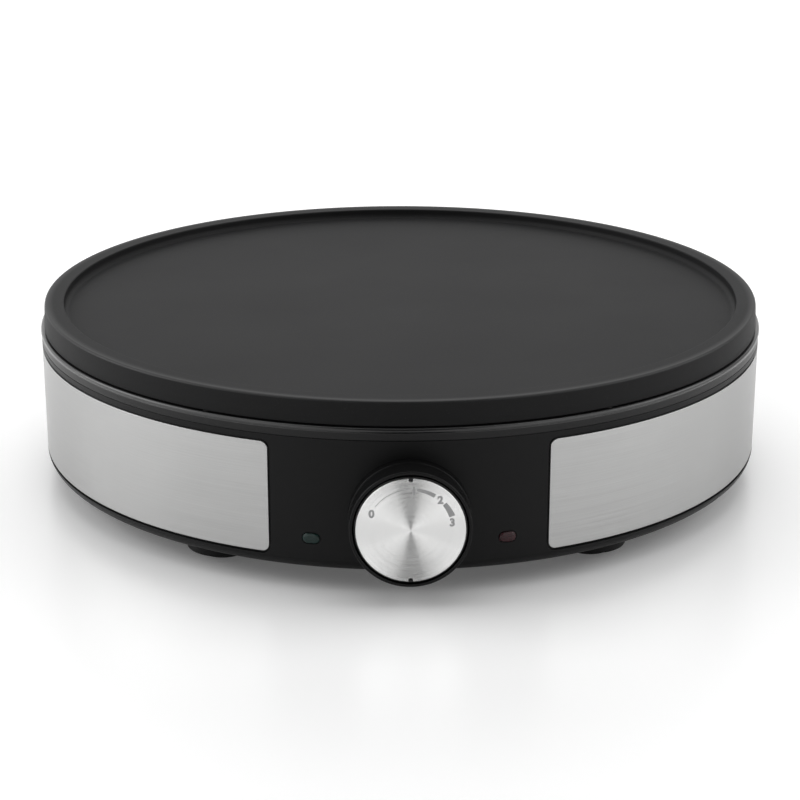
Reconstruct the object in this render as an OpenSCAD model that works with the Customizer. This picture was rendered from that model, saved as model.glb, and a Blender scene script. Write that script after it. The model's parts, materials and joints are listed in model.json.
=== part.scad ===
// Electric crepe maker: a round counter-top griddle with a lift-off plate, a thermostat knob at the
// front and a tubular heating element. The origin is on the table, under the centre of the plate.
// Front is -Y, +Z is up. Angles "from the front" run towards +X.

/* [Housing] */
// Radius of the housing's outer wall
body_r = 160; // [152:0.5:172]
// Height of the housing from its bottom lip to the ring that it carries
housing_h = 56.6; // [54:0.2:66]
// Thickness of the housing's wall
wall_t = 2.5; // [2:0.1:3.2]
// Height of the rounded lip at the foot of the wall
lip_h = 6.3; // [5.4:0.1:7]
// How far the rounded lip runs inwards
lip_run = 10; // [9:0.1:12]
// Height of the bottom cover above the table
floor_gap = 6; // [5:0.2:9]
// Thickness of the flat mounting pad behind the knob
front_pad_t = 5; // [4:0.2:6]

/* [Base ring] */
// Height of the ring's outer face
ring_h = 5.1; // [4.4:0.1:7]
// Width of the ring from the wall's outer face to its inner edge
ring_w = 23; // [21:0.5:26]
// Thickness of the ring's inner flange
ring_flange_t = 2.5; // [2:0.1:3]
// Height of the bead along the ring's upper edge
bead_h = 1.3; // [1:0.1:1.8]
// How far the bead stands out from the housing's wall
bead_proud = 0.35; // [0.2:0.05:1]

/* [Baking plate] */
// Height of the plate from the foot of its skirt to its rim
plate_h = 10; // [9:0.2:14]
// How far the widest part of the rim lies inside the housing's wall
plate_inset = 1.8; // [1.4:0.1:2.6]
// How much wider the skirt is at its foot than at the rim
skirt_flare = 0.5; // [0:0.1:0.8]
// Thickness of the skirt
skirt_t = 3.8; // [3.2:0.1:4.2]
// Width of the flat land on the rim
land_w = 6.8; // [5:0.1:9]
// Depth of the cooking surface below the rim
well_depth = 4.5; // [4:0.1:5.5]
// Radius of the fillet round the cooking surface
well_fillet = 3.4; // [2:0.1:3.6]
// Thickness of the plate under the cooking surface
plate_t = 4; // [3.5:0.1:4.5]

/* [Plate pads] */
// Number of pads that carry the plate
pad_count = 6; // [3:1:12]
// Diameter of a pad
pad_d = 3.2; // [2.4:0.1:3.4]
// How far a pad stands above the ring
pad_proud = 0.3; // [0.2:0.05:0.8]
// Depth of a pad's pocket
pad_depth = 1.5; // [1:0.1:2]

/* [Trim panels] */
// Angle from the front at which a panel starts
panel_start = 20.06; // [19:0.2:24]
// Height of the black wall above a panel
panel_margin = 3.2; // [2.4:0.1:8]
// Height of a panel's lower edge above the housing's lip
panel_base = 7.2; // [6.8:0.1:7.6]
// Thickness of a panel's sheet
panel_t = 0.8; // [0.5:0.1:1]
// Radius of a panel's corners
panel_corner = 3; // [1:0.5:6]
// Width of the black line round a panel
panel_gap = 1; // [0.6:0.1:1.2]
// Radius of the studs behind a panel
stud_r = 1.5; // [1.2:0.1:2]

/* [Knob] */
// Height of the knob's axis above the table
knob_z = 31.7; // [31:0.1:33]
// Radius of the knob
knob_r = 21.7; // [20.5:0.1:22.5]
// How far the knob's face stands out from the wall
knob_reach = 14; // [12.5:0.1:16]
// Radius of the metal disc on the knob
disc_r = 21.1; // [18:0.1:21.2]
// Thickness of the metal disc
disc_t = 1.2; // [0.8:0.1:1.5]
// Width of the notches at the top and bottom of the disc
notch_w = 1.8; // [1.4:0.1:3]
// Depth of the notches
notch_depth = 1; // [0.6:0.1:1.4]
// Diameter of the thermostat's shaft
shaft_d = 6; // [5:0.1:6.2]

/* [Knob bezel] */
// How far the bezel stands out from the wall
bezel_reach = 11; // [9:0.1:11.4]
// Thickness of the bezel's collar
bezel_t = 1.3; // [1:0.1:2]
// Gap between the knob and the bezel
knob_gap = 0.6; // [0.4:0.1:1]
// Thickness of the bezel's floor behind the knob
bezel_floor = 3; // [2.5:0.1:3.5]

/* [Pilot lights] */
// Angle from the front of each pilot light
lens_angle = 13.84; // [13:0.1:14.4]
// Height of the pilot lights above the table
lens_z = 21.15; // [20:0.2:26]
// Length of a lens
lens_l = 7; // [5:0.2:8]
// Height of a lens
lens_w = 4.3; // [3.6:0.1:5]
// How far a lens stands out from the wall
lens_proud = 0.5; // [0.3:0.1:1]

/* [Heating element] */
// Diameter of the element's tube
element_d = 7; // [6:0.1:8]
// How far the outer loop lies inside the edge of the pan's floor
outer_loop_inset = 15.5; // [14:0.5:21]
// Radius of the inner loop
inner_loop_r = 64; // [58:1:68]
// Gap between the element and the plate
contact_gap = 0.3; // [0.3:0.05:0.6]

/* [Pan and shield] */
// Depth of the reflector pan
pan_depth = 9.1; // [8.6:0.1:9.6]
// Thickness of the pan's sheet
pan_t = 0.8; // [0.5:0.1:1]
// How far the heat shield reaches past the outer loop
shield_margin = 6; // [4:0.5:9]
// Gap between the pan and the shield
shield_gap = 5.2; // [4.4:0.1:5.4]

/* [Thermostat] */
// Width of the thermostat's case
case_w = 30; // [28:0.2:30.4]
// Height of the case
case_h = 30; // [29:0.2:31]
// Depth of the case
case_d = 26; // [25:0.5:30]
// Distance between the thermostat's two screws
case_screw_pitch = 37; // [36.4:0.1:37.4]
// Radius of the cam on the shaft
cam_r = 4.5; // [4.2:0.1:4.8]
// How far the cam sits off the shaft's axis
cam_throw = 0.8; // [0.4:0.1:1]
// Diameter of the sensor bulb
bulb_d = 5; // [4:0.1:5.4]
// Length of the sensor bulb
bulb_l = 46; // [30:1:60]

/* [Bottom cover] */
// Thickness of the bottom cover
cover_t = 2.5; // [2:0.1:3]
// Width of the vent slots
vent_w = 3; // [2:0.2:5]
// Length of the vent slots
vent_l = 24; // [14:1:30]
// Number of vent slots
vent_count = 24; // [12:1:30]

/* [Feet] */
// Distance of the feet from the edge of the bottom cover
foot_inset = 15.6; // [15.4:0.2:22]
// Angle of the front feet from the front
foot_angle = 33.1; // [31:0.5:38]
// Diameter of a rubber foot
foot_d = 20; // [16:0.5:24]
// Height of a foot below its boss
foot_h = 2.6; // [2:0.1:3.4]
// Diameter of the boss above a foot
foot_boss_d = 30; // [28:0.5:30]

/* [Screws] */
// Radius of a screw's shank
screw_r = 1.5; // [1.2:0.1:1.6]
// Radius of a screw's head
head_r = 3; // [2.6:0.1:3.2]
// Height of a screw's head
head_h = 1.8; // [1.4:0.1:2]

/* [Cord entry] */
// Radius of the bore that the supply cord passes through
gland_bore_r = 3.6; // [3:0.1:4.5]
// How far the gland stands out at the rear
gland_reach = 14; // [10:0.5:20]
// Height of the gland's axis above the table
gland_z = 26; // [22:0.5:32]

/* [Hidden] */
$fn = 96;
wall_fn = 360;            // fineness of the large round shapes

// Clearances
slip = 0.05;              // pins, shafts and screws in their holes, on the radius
seat_gap = 0.1;           // sheets and inserts in their recesses
assembly_gap = 0.3;       // parts that drop into each other
cut = 1;                  // how far a cutter runs past a face

// Levels, from the table up
housing_z = floor_gap;
cover_top_z = floor_gap + cover_t;
wall_z = housing_z + lip_h;
housing_top_z = housing_z + housing_h;
ring_top_z = housing_top_z + ring_h;
plate_z = ring_top_z + pad_proud;
rim_z = plate_z + plate_h;
cook_z = rim_z - well_depth;
plate_under_z = cook_z - plate_t;
flange_top_z = housing_top_z + ring_flange_t;
pan_z = flange_top_z - pan_depth;
pan_floor_z = pan_z + pan_t;
shield_z = pan_z - shield_gap - pan_t;
element_z = plate_under_z - contact_gap - element_d / 2;

// Radii, from the wall inwards
inner_r = body_r - wall_t;
rim_r = body_r - plate_inset;
skirt_r = rim_r + skirt_flare;
rim_round = 1.1;
land_out_r = rim_r - rim_round;
land_in_r = land_out_r - land_w;
well_edge_round = 0.6;
well_wall_r = land_in_r - well_edge_round;
skirt_in_r = skirt_r - skirt_t;
ring_land_r = skirt_in_r - 1.9;
spigot_gap = 0.7;
spigot_t = 2.5;
spigot_out_r = ring_land_r - spigot_gap;
spigot_in_r = spigot_out_r - spigot_t;
spigot_z = plate_z - 1.7;
rim_under_z = rim_z - plate_t;
pad_circle_r = (skirt_in_r + skirt_r) / 2;
post_circle_r = spigot_in_r - head_r - 0.8;
post_r = 4.5;
post_screw_l = 12;
ring_in_r = body_r - ring_w;
pan_rim_r = post_circle_r - head_r - 2;
pan_flange_w = 7.5;
pan_screw_r = pan_rim_r - 2;
pan_slope_w = 6;
pan_floor_r = pan_rim_r - pan_flange_w - pan_slope_w;
cover_r = body_r - lip_run + 2.6;
counterbore = 1;
foot_circle_r = cover_r - foot_inset;
ledge_w = 5;
ledge_t = 2.5;

// Angles from the front
post_angles = [58, 100, 142, -142, -100, -58];
pan_screw_angles = [45, 135, -135, -45];
stud_angles = [36, 80, 120, 154];
stud_inset_z = 9;
vent_circle_r = 72;

// Ring skirt that locates the ring inside the wall
ring_skirt_h = 4;
ring_skirt_t = 2;

// Trim panels
panel_z = housing_z + panel_base;
panel_h = housing_top_z - panel_margin - panel_z;
recess_r = body_r - panel_t - seat_gap;
panel_gap_angle = panel_gap / body_r * 180 / PI;
stud_l = 6;
nut_t = 0.5;
nut_r = 4;

// Knob, bezel and shaft, as distances out from the centre of the housing
knob_face = body_r + knob_reach;
bezel_face = body_r + bezel_reach;
bezel_floor_face = body_r + bezel_floor;
bezel_bore_r = knob_r + knob_gap;
bezel_r = bezel_bore_r + bezel_t;
knob_back = bezel_floor_face + knob_gap;
knob_rim = knob_face - 0.6;
knob_wall_t = 1.6;
knob_web_t = 2;
disc_back = knob_face - disc_t;
knob_web_back = disc_back - knob_web_t;
hub_r = shaft_d / 2 + 3;
shaft_r = shaft_d / 2;
shaft_tip = knob_web_back - 0.4;
flat_depth = 1.5;
flat_l = 6.5;
clip_t = 0.4;
clip_w = 3.8;
pad_face = inner_r - front_pad_t;
bracket_t = 1.2;
bracket_face = pad_face - bracket_t;
case_back = bracket_face - case_d;
case_wall = 2.5;
case_front_wall = 3;
case_cover_t = 1.5;
case_inner_w = case_w - 2 * case_wall;
case_inner_h = case_h - 2 * case_wall;
cam_t = 4;
cam_front = case_back + 13.7;
shaft_tail = cam_front - cam_t - 4;
cam_rest_angle = -6.5;
shaft_hole_r = shaft_r + 2;
bracket_overhang = 3.6;

// Switch lever, driven by the cam
knob_to_max = 78;
lever_pivot_x = -(case_inner_w / 2 - 2);
lever_end_x = case_inner_w / 2 - 2;
lever_t = 0.6;
lever_w = 5;
lever_gap = 0.45;
lever_ratio = 0.775 * cam_throw / -lever_pivot_x;
lever_under_z = knob_z + cam_r + cam_throw * sin(cam_rest_angle) + lever_gap;
lever_z = lever_under_z + lever_t / 2;
lever_pin_r = 0.75;
lever_pin_depth = 1.5;
lever_curl_r = 1.6;
button_r = 1.6;
button_t = 0.8;
lever_rise = (lever_end_x - lever_pivot_x) * tan(lever_ratio * knob_to_max);
contact_z = lever_under_z + lever_t + button_t + lever_rise + 0.35;
case_roof_z = knob_z + case_inner_h / 2;
tab_t = 0.8;
tab_w = 6.3;
tab_l = 7;
contact_strip_x = lever_end_x + button_r - tab_w;
contact_strip_z = case_roof_z - seat_gap - tab_t;
terminal_back = case_back - case_cover_t - tab_l;
lever_front = cam_front - cam_t / 2 + lever_w / 2;

// Pilot lights, as distances out from the centre of the housing
lens_hole_gap = 0.15;
lens_face = body_r + lens_proud;
lens_flange_t = 1.5;
lens_flange_grow = 3;
lens_back = inner_r - 0.5 - lens_flange_t;
holder_face = inner_r - 0.5;
holder_back = holder_face - 9;
holder_l = 14;
holder_h = 10;
lamp_r = 2.9;
lamp_l = 13;
lamp_tip = lens_back - 0.3;

// Heating element, with angles counted from +X
outer_loop_r = pan_floor_r - outer_loop_inset;
shield_r = outer_loop_r + shield_margin;
outer_start = -72;
outer_end = 252;
inner_end = 236;
leg_bend_r = 9;
leg_end_z = shield_z - 4;
seal_h = 2.5;
pin_r = 1.6;
pin_l = 6;
pin_tab_lap = 1;
leg_hole_r = element_d / 2 + 2;
support_angles = [32, 130, 215];
support_t = 1.2;
support_foot = 7;
support_over = 6;

// Sensor bulb, between the loops on the right
bulb_x = (outer_loop_r + inner_loop_r) / 2 + 1;
bulb_z = plate_under_z - contact_gap - bulb_d / 2;
bulb_base_y = -bulb_l / 2;
capillary_d = 1.6;
capsule_r = 5.4;
capsule_t = 3;
capsule_back = case_back + seat_gap;
clip_strap_t = 0.8;

// Shield and its rivets
spacer_circle_r = 88;
spacer_angles = [50, 160, -75, -160];
spacer_r = 4;
rivet_r = 1.6;
rivet_head_r = 3.2;
rivet_head_h = 1;

// Terminal block and what hangs on the wiring
block_y = body_r - 46;
block_post_h = 3;
block_z = cover_top_z + block_post_h;
block_w = 34;
block_l = 18;
block_h = 15;
block_pitch = 10;
block_bore_r = 2;
block_screw_grip = 2;
block_bore_z = block_z + 6;
fuse_x = 44;
fuse_y = 46 - shield_r;
fuse_r = 2.4;
fuse_l = 22;
fuse_z = shield_z - fuse_r - 0.1;
earth_x = 26;
earth_y = 52;
tag_l = 12;

// Leads
lead_d = 2.4;
lamp_lead_d = 1.4;
lead_sides = 8;
lead_steps = 4;
lead_touch = 0.25;

// Cord gland
gland_flange_r = gland_bore_r + 5;
gland_neck_r = gland_bore_r + 2.4;
gland_tip_r = gland_bore_r + 1.6;
gland_flange_t = 2.5;
gland_ring_t = 2;
gland_seat = sqrt(inner_r * inner_r - gland_flange_r * gland_flange_r) - assembly_gap;

// Feet
foot_recess = 1.2;
foot_stem_r = 3;
foot_barb_r = 3.7;
foot_boss_z = foot_h;

black = [0.06, 0.06, 0.065];
coating = [0.1, 0.1, 0.105];
steel = [0.72, 0.72, 0.71];
zinc = [0.6, 0.61, 0.63];
brass = [0.8, 0.65, 0.3];
copper = [0.78, 0.58, 0.36];
steatite = [0.86, 0.84, 0.78];
rubber = [0.04, 0.04, 0.04];

// ---- Frames and shared shapes ----

// Turns a part that faces -Y to an angle from the front
module from_front(angle) rotate([0, 0, angle]) children();

// Local z runs outwards at the front, local y runs up
module facing_front(z) translate([0, 0, z]) rotate([90, 0, 0]) children();

module facing_at(angle, z) from_front(angle) facing_front(z) children();

function arc(cx, cz, rx, rz, from, to, steps = 8) = [
    for (i = [0 : steps]) let (a = from + (to - from) * i / steps) [cx + rx * cos(a), cz + rz * sin(a)]
];

module disc(r, z, h) translate([0, 0, z]) cylinder(r = r, h = h);

module tube(r_out, r_in, z, h) translate([0, 0, z]) difference() {
    cylinder(r = r_out, h = h);
    translate([0, 0, -cut]) cylinder(r = r_in, h = h + 2 * cut);
}

// Flat outline with round ends
module slot_2d(length, width) {
    square([length - width, width], center = true);
    for (side = [-1, 1]) translate([side * (length - width) / 2, 0]) circle(d = width);
}

// What a rounded corner takes off the corner of a wall patch, in the front's frame
module corner_waste(r, side, up) {
    depth = 4 * wall_t;
    translate([0, 0, body_r - depth / 2]) difference() {
        translate([side > 0 ? -r : -cut, up > 0 ? -r : -cut, 0]) cube([r + cut, r + cut, depth]);
        translate([-side * r, -up * r, -cut]) cylinder(r = r, h = depth + 2 * cut);
    }
}

// A patch of cylindrical wall with rounded corners, between two angles and two heights
module wall_patch(from, to, z, h, r_in, r_out, corner) {
    difference() {
        rotate([0, 0, from - 90]) rotate_extrude(angle = to - from, $fn = wall_fn)
            translate([r_in, z]) square([r_out - r_in, h]);
        for (up = [-1, 1]) {
            facing_at(to, up > 0 ? z + h : z) corner_waste(corner, 1, up);
            facing_at(from, up > 0 ? z + h : z) corner_waste(corner, -1, up);
        }
    }
}

// Cross-head screw whose head stands on z = 0 and whose shank runs down
module screw(shank_l, shank_r = screw_r) {
    slot_w = 0.7;
    slot_l = 1.1 * head_r;
    difference() {
        union() {
            cylinder(r = head_r, h = head_h);
            translate([0, 0, -shank_l]) cylinder(r = shank_r, h = shank_l + head_h / 2);
        }
        for (turn = [0, 90]) rotate([0, 0, turn])
            translate([-slot_l / 2, -slot_w / 2, head_h / 2]) cube([slot_l, slot_w, head_h]);
    }
}

function unit(v) = v / norm(v);

// Point on a smooth curve through the points p, between p[i] and p[i + 1]
function curve_point(p, i, t) =
    let (a = p[max(i - 1, 0)], b = p[i], c = p[i + 1], d = p[min(i + 2, len(p) - 1)])
    0.5 * (2 * b + (c - a) * t + (2 * a - 5 * b + 4 * c - d) * t * t + (3 * b - a - 3 * c + d) * t * t * t);

function curve(p) = concat(
    [for (i = [0 : len(p) - 2], k = [0 : lead_steps - 1]) curve_point(p, i, k / lead_steps)],
    [p[len(p) - 1]]
);

// Round wire along a smooth curve; side is a direction that the curve never takes
module wire(points, d, side) {
    path = curve(points);
    n = len(path);
    ring_points = [
        for (k = [0 : n - 1])
            let (
                along = unit(path[min(k + 1, n - 1)] - path[max(k - 1, 0)]),
                u = unit(cross(side, along)),
                v = cross(along, u)
            )
            for (j = [0 : lead_sides - 1])
                let (a = 360 * j / lead_sides)
                path[k] + d / 2 * (cos(a) * u + sin(a) * v)
    ];
    sides = [
        for (k = [0 : n - 2], j = [0 : lead_sides - 1])
            let (next = (j + 1) % lead_sides)
            [k * lead_sides + j, (k + 1) * lead_sides + j, (k + 1) * lead_sides + next, k * lead_sides + next]
    ];
    start_cap = [for (j = [0 : lead_sides - 1]) j];
    end_cap = [for (j = [lead_sides - 1 : -1 : 0]) (n - 1) * lead_sides + j];
    polyhedron(points = ring_points, faces = concat([start_cap], sides, [end_cap]), convexity = 6);
}

// ---- Plate and base ring ----

module baking_plate() {
    color(coating)
    rotate_extrude($fn = wall_fn) polygon(concat(
        [[0, cook_z], [0, plate_under_z], [spigot_in_r, plate_under_z]],
        [[spigot_in_r, spigot_z], [spigot_out_r, spigot_z]],
        [[spigot_out_r, rim_under_z], [skirt_in_r, rim_under_z], [skirt_in_r, plate_z], [skirt_r, plate_z]],
        arc(rim_r - rim_round, rim_z - rim_round, rim_round, rim_round, 0, 90),
        arc(land_in_r, rim_z - well_edge_round, well_edge_round, well_edge_round, 90, 180),
        arc(well_wall_r - well_fillet, cook_z + well_fillet, well_fillet, well_fillet, 0, -90)
    ));
}

module at_pads() for (i = [0 : pad_count - 1])
    from_front(360 / pad_count * (i + 0.5)) translate([0, -pad_circle_r, 0]) children();

module plate_pads() {
    color(steatite)
    at_pads() disc(pad_d / 2, ring_top_z - pad_depth, pad_depth + pad_proud);
}

module base_ring() {
    bead_r = body_r + bead_proud;
    edge = 0.4;
    locating_r = inner_r - assembly_gap;
    color(black)
    difference() {
        rotate_extrude($fn = wall_fn) polygon(concat(
            [[ring_in_r, housing_top_z], [locating_r - ring_skirt_t, housing_top_z]],
            [[locating_r - ring_skirt_t, housing_top_z - ring_skirt_h]],
            [[locating_r, housing_top_z - ring_skirt_h], [locating_r, housing_top_z]],
            [[body_r - edge, housing_top_z], [body_r, housing_top_z + edge], [body_r, ring_top_z - bead_h]],
            arc(bead_r - bead_h / 2, ring_top_z - bead_h / 2, bead_h / 2, bead_h / 2, -60, 90),
            [[ring_land_r, ring_top_z], [ring_land_r, flange_top_z], [ring_in_r, flange_top_z]]
        ));
        at_pads() disc(pad_d / 2 + slip, ring_top_z - pad_depth, pad_depth + cut);
        for (a = post_angles) from_front(a) translate([0, -post_circle_r, 0])
            disc(screw_r + slip, housing_top_z - cut, ring_flange_t + 2 * cut);
        for (a = pan_screw_angles) from_front(a) translate([0, -pan_screw_r, 0])
            disc(screw_r + slip, housing_top_z - cut, ring_flange_t + 2 * cut);
    }
}

module ring_screws() {
    color(zinc)
    for (a = post_angles) from_front(a) translate([0, -post_circle_r, flange_top_z]) screw(post_screw_l);
}

// ---- Housing ----

module housing_shell() rotate_extrude($fn = wall_fn) polygon(concat(
    [[body_r, housing_top_z], [inner_r, housing_top_z], [inner_r, cover_top_z + ledge_t]],
    [[cover_r - ledge_w, cover_top_z + ledge_t], [cover_r - ledge_w, cover_top_z]],
    [[cover_r + assembly_gap, cover_top_z]],
    [for (p = arc(body_r - lip_run, wall_z, lip_run, lip_h, -90, 0, 12)) if (p[0] > cover_r + assembly_gap) p]
));

module screw_post(angle) {
    post_base_z = cover_top_z + 0.2;
    rib_base_z = post_base_z + 0.4;
    rib_t = 2.4;
    rib_top_z = housing_top_z - ring_skirt_h - 1.5;
    from_front(angle) {
        translate([0, -post_circle_r, 0]) disc(post_r, post_base_z, housing_top_z - post_base_z);
        translate([-rib_t / 2, -inner_r - wall_t / 2, rib_base_z])
            cube([rib_t, inner_r + wall_t / 2 - post_circle_r, rib_top_z - rib_base_z]);
    }
}

module panel_recess() wall_patch(
    panel_start - panel_gap_angle, 180 - panel_start + panel_gap_angle,
    panel_z - panel_gap, panel_h + 2 * panel_gap, recess_r, body_r + cut, panel_corner + panel_gap
);

module at_studs() for (a = stud_angles, z = [panel_z + stud_inset_z, panel_z + panel_h - stud_inset_z])
    facing_at(a, z) children();

module housing() {
    pad_w = case_screw_pitch + 2 * bracket_overhang + 4;
    pad_h = case_h + 6;
    pad_reach = 4 * front_pad_t;
    color(black)
    difference() {
        union() {
            housing_shell();
            for (a = post_angles) screw_post(a);
            intersection() {
                facing_front(knob_z) translate([-pad_w / 2, -pad_h / 2, pad_face])
                    cube([pad_w, pad_h, pad_reach]);
                disc(inner_r + wall_t / 2, housing_z, housing_h, $fn = wall_fn);
            }
        }
        for (a = post_angles) from_front(a) translate([0, -post_circle_r, 0]) {
            disc(screw_r + slip, cover_top_z - cut, post_screw_l + cut);
            disc(screw_r + slip, housing_top_z - post_screw_l, post_screw_l + cut);
        }
        panel_recess();
        mirror([1, 0, 0]) panel_recess();
        at_studs() disc(stud_r + slip, inner_r - 2 * wall_t, 3 * wall_t);
        mirror([1, 0, 0]) at_studs() disc(stud_r + slip, inner_r - 2 * wall_t, 3 * wall_t);
        facing_front(knob_z) {
            disc(shaft_hole_r, pad_face - cut, body_r);
            at_case_screws() disc(screw_r + slip, pad_face - cut, body_r);
        }
        for (side = [-1, 1]) facing_at(side * lens_angle, lens_z) {
            translate([0, 0, inner_r - wall_t]) linear_extrude(3 * wall_t)
                slot_2d(lens_l + 2 * lens_hole_gap, lens_w + 2 * lens_hole_gap);
        }
        facing_at(180, gland_z) disc(gland_neck_r + slip, inner_r - wall_t, 3 * wall_t);
    }
}

module right_side_panel() {
    wall_patch(panel_start, 180 - panel_start, panel_z, panel_h, body_r - panel_t, body_r, panel_corner);
    at_studs() disc(stud_r, body_r - panel_t / 2 - stud_l, stud_l);
}

module right_panel() color(steel) right_side_panel();

module left_panel() color(steel) mirror([1, 0, 0]) right_side_panel();

module panel_push_nuts() {
    color(zinc)
    for (side = [0, 1]) mirror([side, 0, 0]) at_studs()
        tube(nut_r, stud_r + slip, inner_r - nut_t - 2 * seat_gap, nut_t);
}

// ---- Bottom ----

module at_feet() for (side = [-1, 1], turn = [0, 180]) from_front(turn + side * foot_angle)
    translate([0, -foot_circle_r, 0]) children();

module at_block_screws() for (side = [-1, 1]) translate([side * block_pitch * 1.2, block_y, 0]) children();

module bottom_cover() {
    block_post_r = 4;
    color(black)
    difference() {
        union() {
            disc(cover_r, floor_gap, cover_t);
            at_feet() disc(foot_boss_d / 2, foot_boss_z, floor_gap - foot_boss_z + cover_t / 2);
            at_block_screws() disc(block_post_r, cover_top_z - cover_t / 2, block_post_h + cover_t / 2);
        }
        at_feet() {
            disc(foot_d / 2 + seat_gap, foot_boss_z - cut, foot_recess + cut);
            disc(foot_stem_r + seat_gap, foot_boss_z - cut, floor_gap + cover_t);
        }
        for (a = post_angles) from_front(a) translate([0, -post_circle_r, 0]) {
            disc(screw_r + slip, floor_gap - cut, cover_t + 2 * cut);
            disc(head_r + assembly_gap, floor_gap - cut, counterbore + cut);
        }
        at_block_screws() disc(screw_r + slip, floor_gap - cut, cover_t + block_post_h + 2 * cut);
        for (i = [0 : vent_count - 1]) from_front(360 / vent_count * i)
            translate([0, -vent_circle_r, floor_gap - cut]) rotate([0, 0, 90])
                linear_extrude(cover_t + 2 * cut) slot_2d(vent_l, vent_w);
    }
}

module cover_screws() {
    color(zinc)
    for (a = post_angles) from_front(a) translate([0, -post_circle_r, floor_gap + counterbore])
        mirror([0, 0, 1]) screw(post_screw_l - 2);
}

module foot() {
    edge = 1;
    barb_z = cover_top_z + seat_gap;
    tip_z = cover_top_z + 3;
    color(rubber)
    rotate_extrude() polygon([
        [0, 0], [foot_d / 2 - edge, 0], [foot_d / 2, edge], [foot_d / 2, foot_boss_z + foot_recess],
        [foot_stem_r, foot_boss_z + foot_recess], [foot_stem_r, barb_z],
        [foot_barb_r, barb_z], [foot_stem_r - 0.6, tip_z], [0, tip_z]
    ]);
}

module foot_at(angle) from_front(angle) translate([0, -foot_circle_r, 0]) foot();

// ---- Knob ----

module knob_body() {
    rib_t = 1.2;
    rib_back = knob_back + 3;
    rib_l = knob_r - knob_wall_t / 2 - hub_r + 1;
    sunk = 0.2;
    color(black)
    facing_front(knob_z) difference() {
        union() {
            tube(knob_r, knob_r - knob_wall_t, knob_back, disc_back - knob_back);
            tube(knob_r, disc_r + slip, disc_back - sunk, knob_rim - disc_back + sunk);
            disc(knob_r - knob_wall_t / 2, knob_web_back, knob_web_t);
            disc(hub_r, knob_back + 1, knob_web_back - knob_back);
            for (a = [30 : 60 : 330]) rotate([0, 0, a]) translate([hub_r - 1, -rib_t / 2, rib_back])
                cube([rib_l, rib_t, knob_web_back + knob_web_t / 2 - rib_back]);
            for (turn = [0, 180]) rotate([0, 0, turn])
                translate([-notch_w / 2 + slip, disc_r - notch_depth + slip, disc_back - sunk])
                    cube([notch_w - 2 * slip, notch_depth + assembly_gap, disc_t]);
        }
        difference() {
            disc(shaft_r + slip, knob_back, shaft_tip - knob_back + sunk);
            translate([-shaft_d, shaft_r - flat_depth + slip, knob_back - cut])
                cube([2 * shaft_d, shaft_d, knob_reach]);
        }
        translate([-clip_w / 2 - slip, 0, knob_back])
            cube([clip_w + 2 * slip, shaft_r, shaft_tip - knob_back]);
    }
}

module knob_disc() {
    chamfer = 0.3;
    color([0.75, 0.75, 0.76])
    facing_front(knob_z) difference() {
        rotate_extrude() polygon([
            [0, disc_back], [disc_r, disc_back], [disc_r, knob_face - chamfer],
            [disc_r - chamfer, knob_face], [0, knob_face]
        ]);
        for (turn = [0, 180]) rotate([0, 0, turn])
            translate([-notch_w / 2, disc_r - notch_depth, disc_back - cut])
                cube([notch_w, notch_depth + cut, disc_t + 2 * cut]);
    }
}

module knob_clip() {
    clip_l = flat_l - 1.5;
    color(zinc)
    facing_front(knob_z) translate([-clip_w / 2, shaft_r - flat_depth + 0.6, shaft_tip - clip_l - 0.2])
        cube([clip_w, clip_t, clip_l]);
}

module knob_bezel() {
    edge = 0.6;
    bezel_back = body_r - 4;
    screw_depth = bezel_floor - 0.8;
    color(black)
    difference() {
        facing_front(knob_z) difference() {
            rotate_extrude() polygon(concat(
                [[shaft_hole_r, bezel_back], [bezel_r, bezel_back]],
                arc(bezel_r - edge, bezel_face - edge, edge, edge, 0, 90, 4),
                [[bezel_bore_r, bezel_face], [bezel_bore_r, bezel_floor_face]],
                [[shaft_hole_r, bezel_floor_face]]
            ));
            at_case_screws() disc(screw_r + slip, bezel_back - cut, body_r + screw_depth - bezel_back + cut);
        }
        disc(body_r + 0.02, 0, rim_z, $fn = wall_fn);
    }
}

// ---- Thermostat ----

module thermostat_shaft() {
    color(zinc)
    facing_front(knob_z) difference() {
        disc(shaft_r, shaft_tail, shaft_tip - shaft_tail);
        translate([-shaft_d, shaft_r - flat_depth, shaft_tip - flat_l])
            cube([2 * shaft_d, shaft_d, flat_l + cut]);
    }
}

module thermostat_cam() {
    color(steatite)
    facing_front(knob_z) difference() {
        rotate([0, 0, cam_rest_angle]) translate([cam_throw, 0, 0]) disc(cam_r, cam_front - cam_t, cam_t);
        disc(shaft_r + 0.02, cam_front - cam_t - cut, cam_t + 2 * cut);
    }
}

// Places behind the knob, in the frame of facing_front(knob_z)
module at_lever_pin() translate([lever_pivot_x, lever_z - knob_z, 0]) children();

module at_capillary() translate([0, -case_inner_h / 4, 0]) children();

module at_case_screws() for (side = [-1, 1]) translate([side * case_screw_pitch / 2, 0, 0]) children();

module thermostat_case() {
    neck_r = shaft_hole_r - 0.2;
    neck_l = pad_face + 2 - bracket_face;
    color(steatite)
    facing_front(knob_z) difference() {
        union() {
            translate([-case_w / 2, -case_h / 2, case_back]) cube([case_w, case_h, case_d]);
            disc(neck_r, bracket_face - cut, neck_l + cut);
        }
        translate([-case_inner_w / 2, -case_inner_h / 2, case_back - cut])
            cube([case_inner_w, case_inner_h, case_d - case_front_wall + cut]);
        disc(shaft_r + slip, case_back, body_r);
        at_lever_pin() disc(lever_pin_r + slip, bracket_face - case_front_wall - cut, lever_pin_depth + cut);
    }
}

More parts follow.
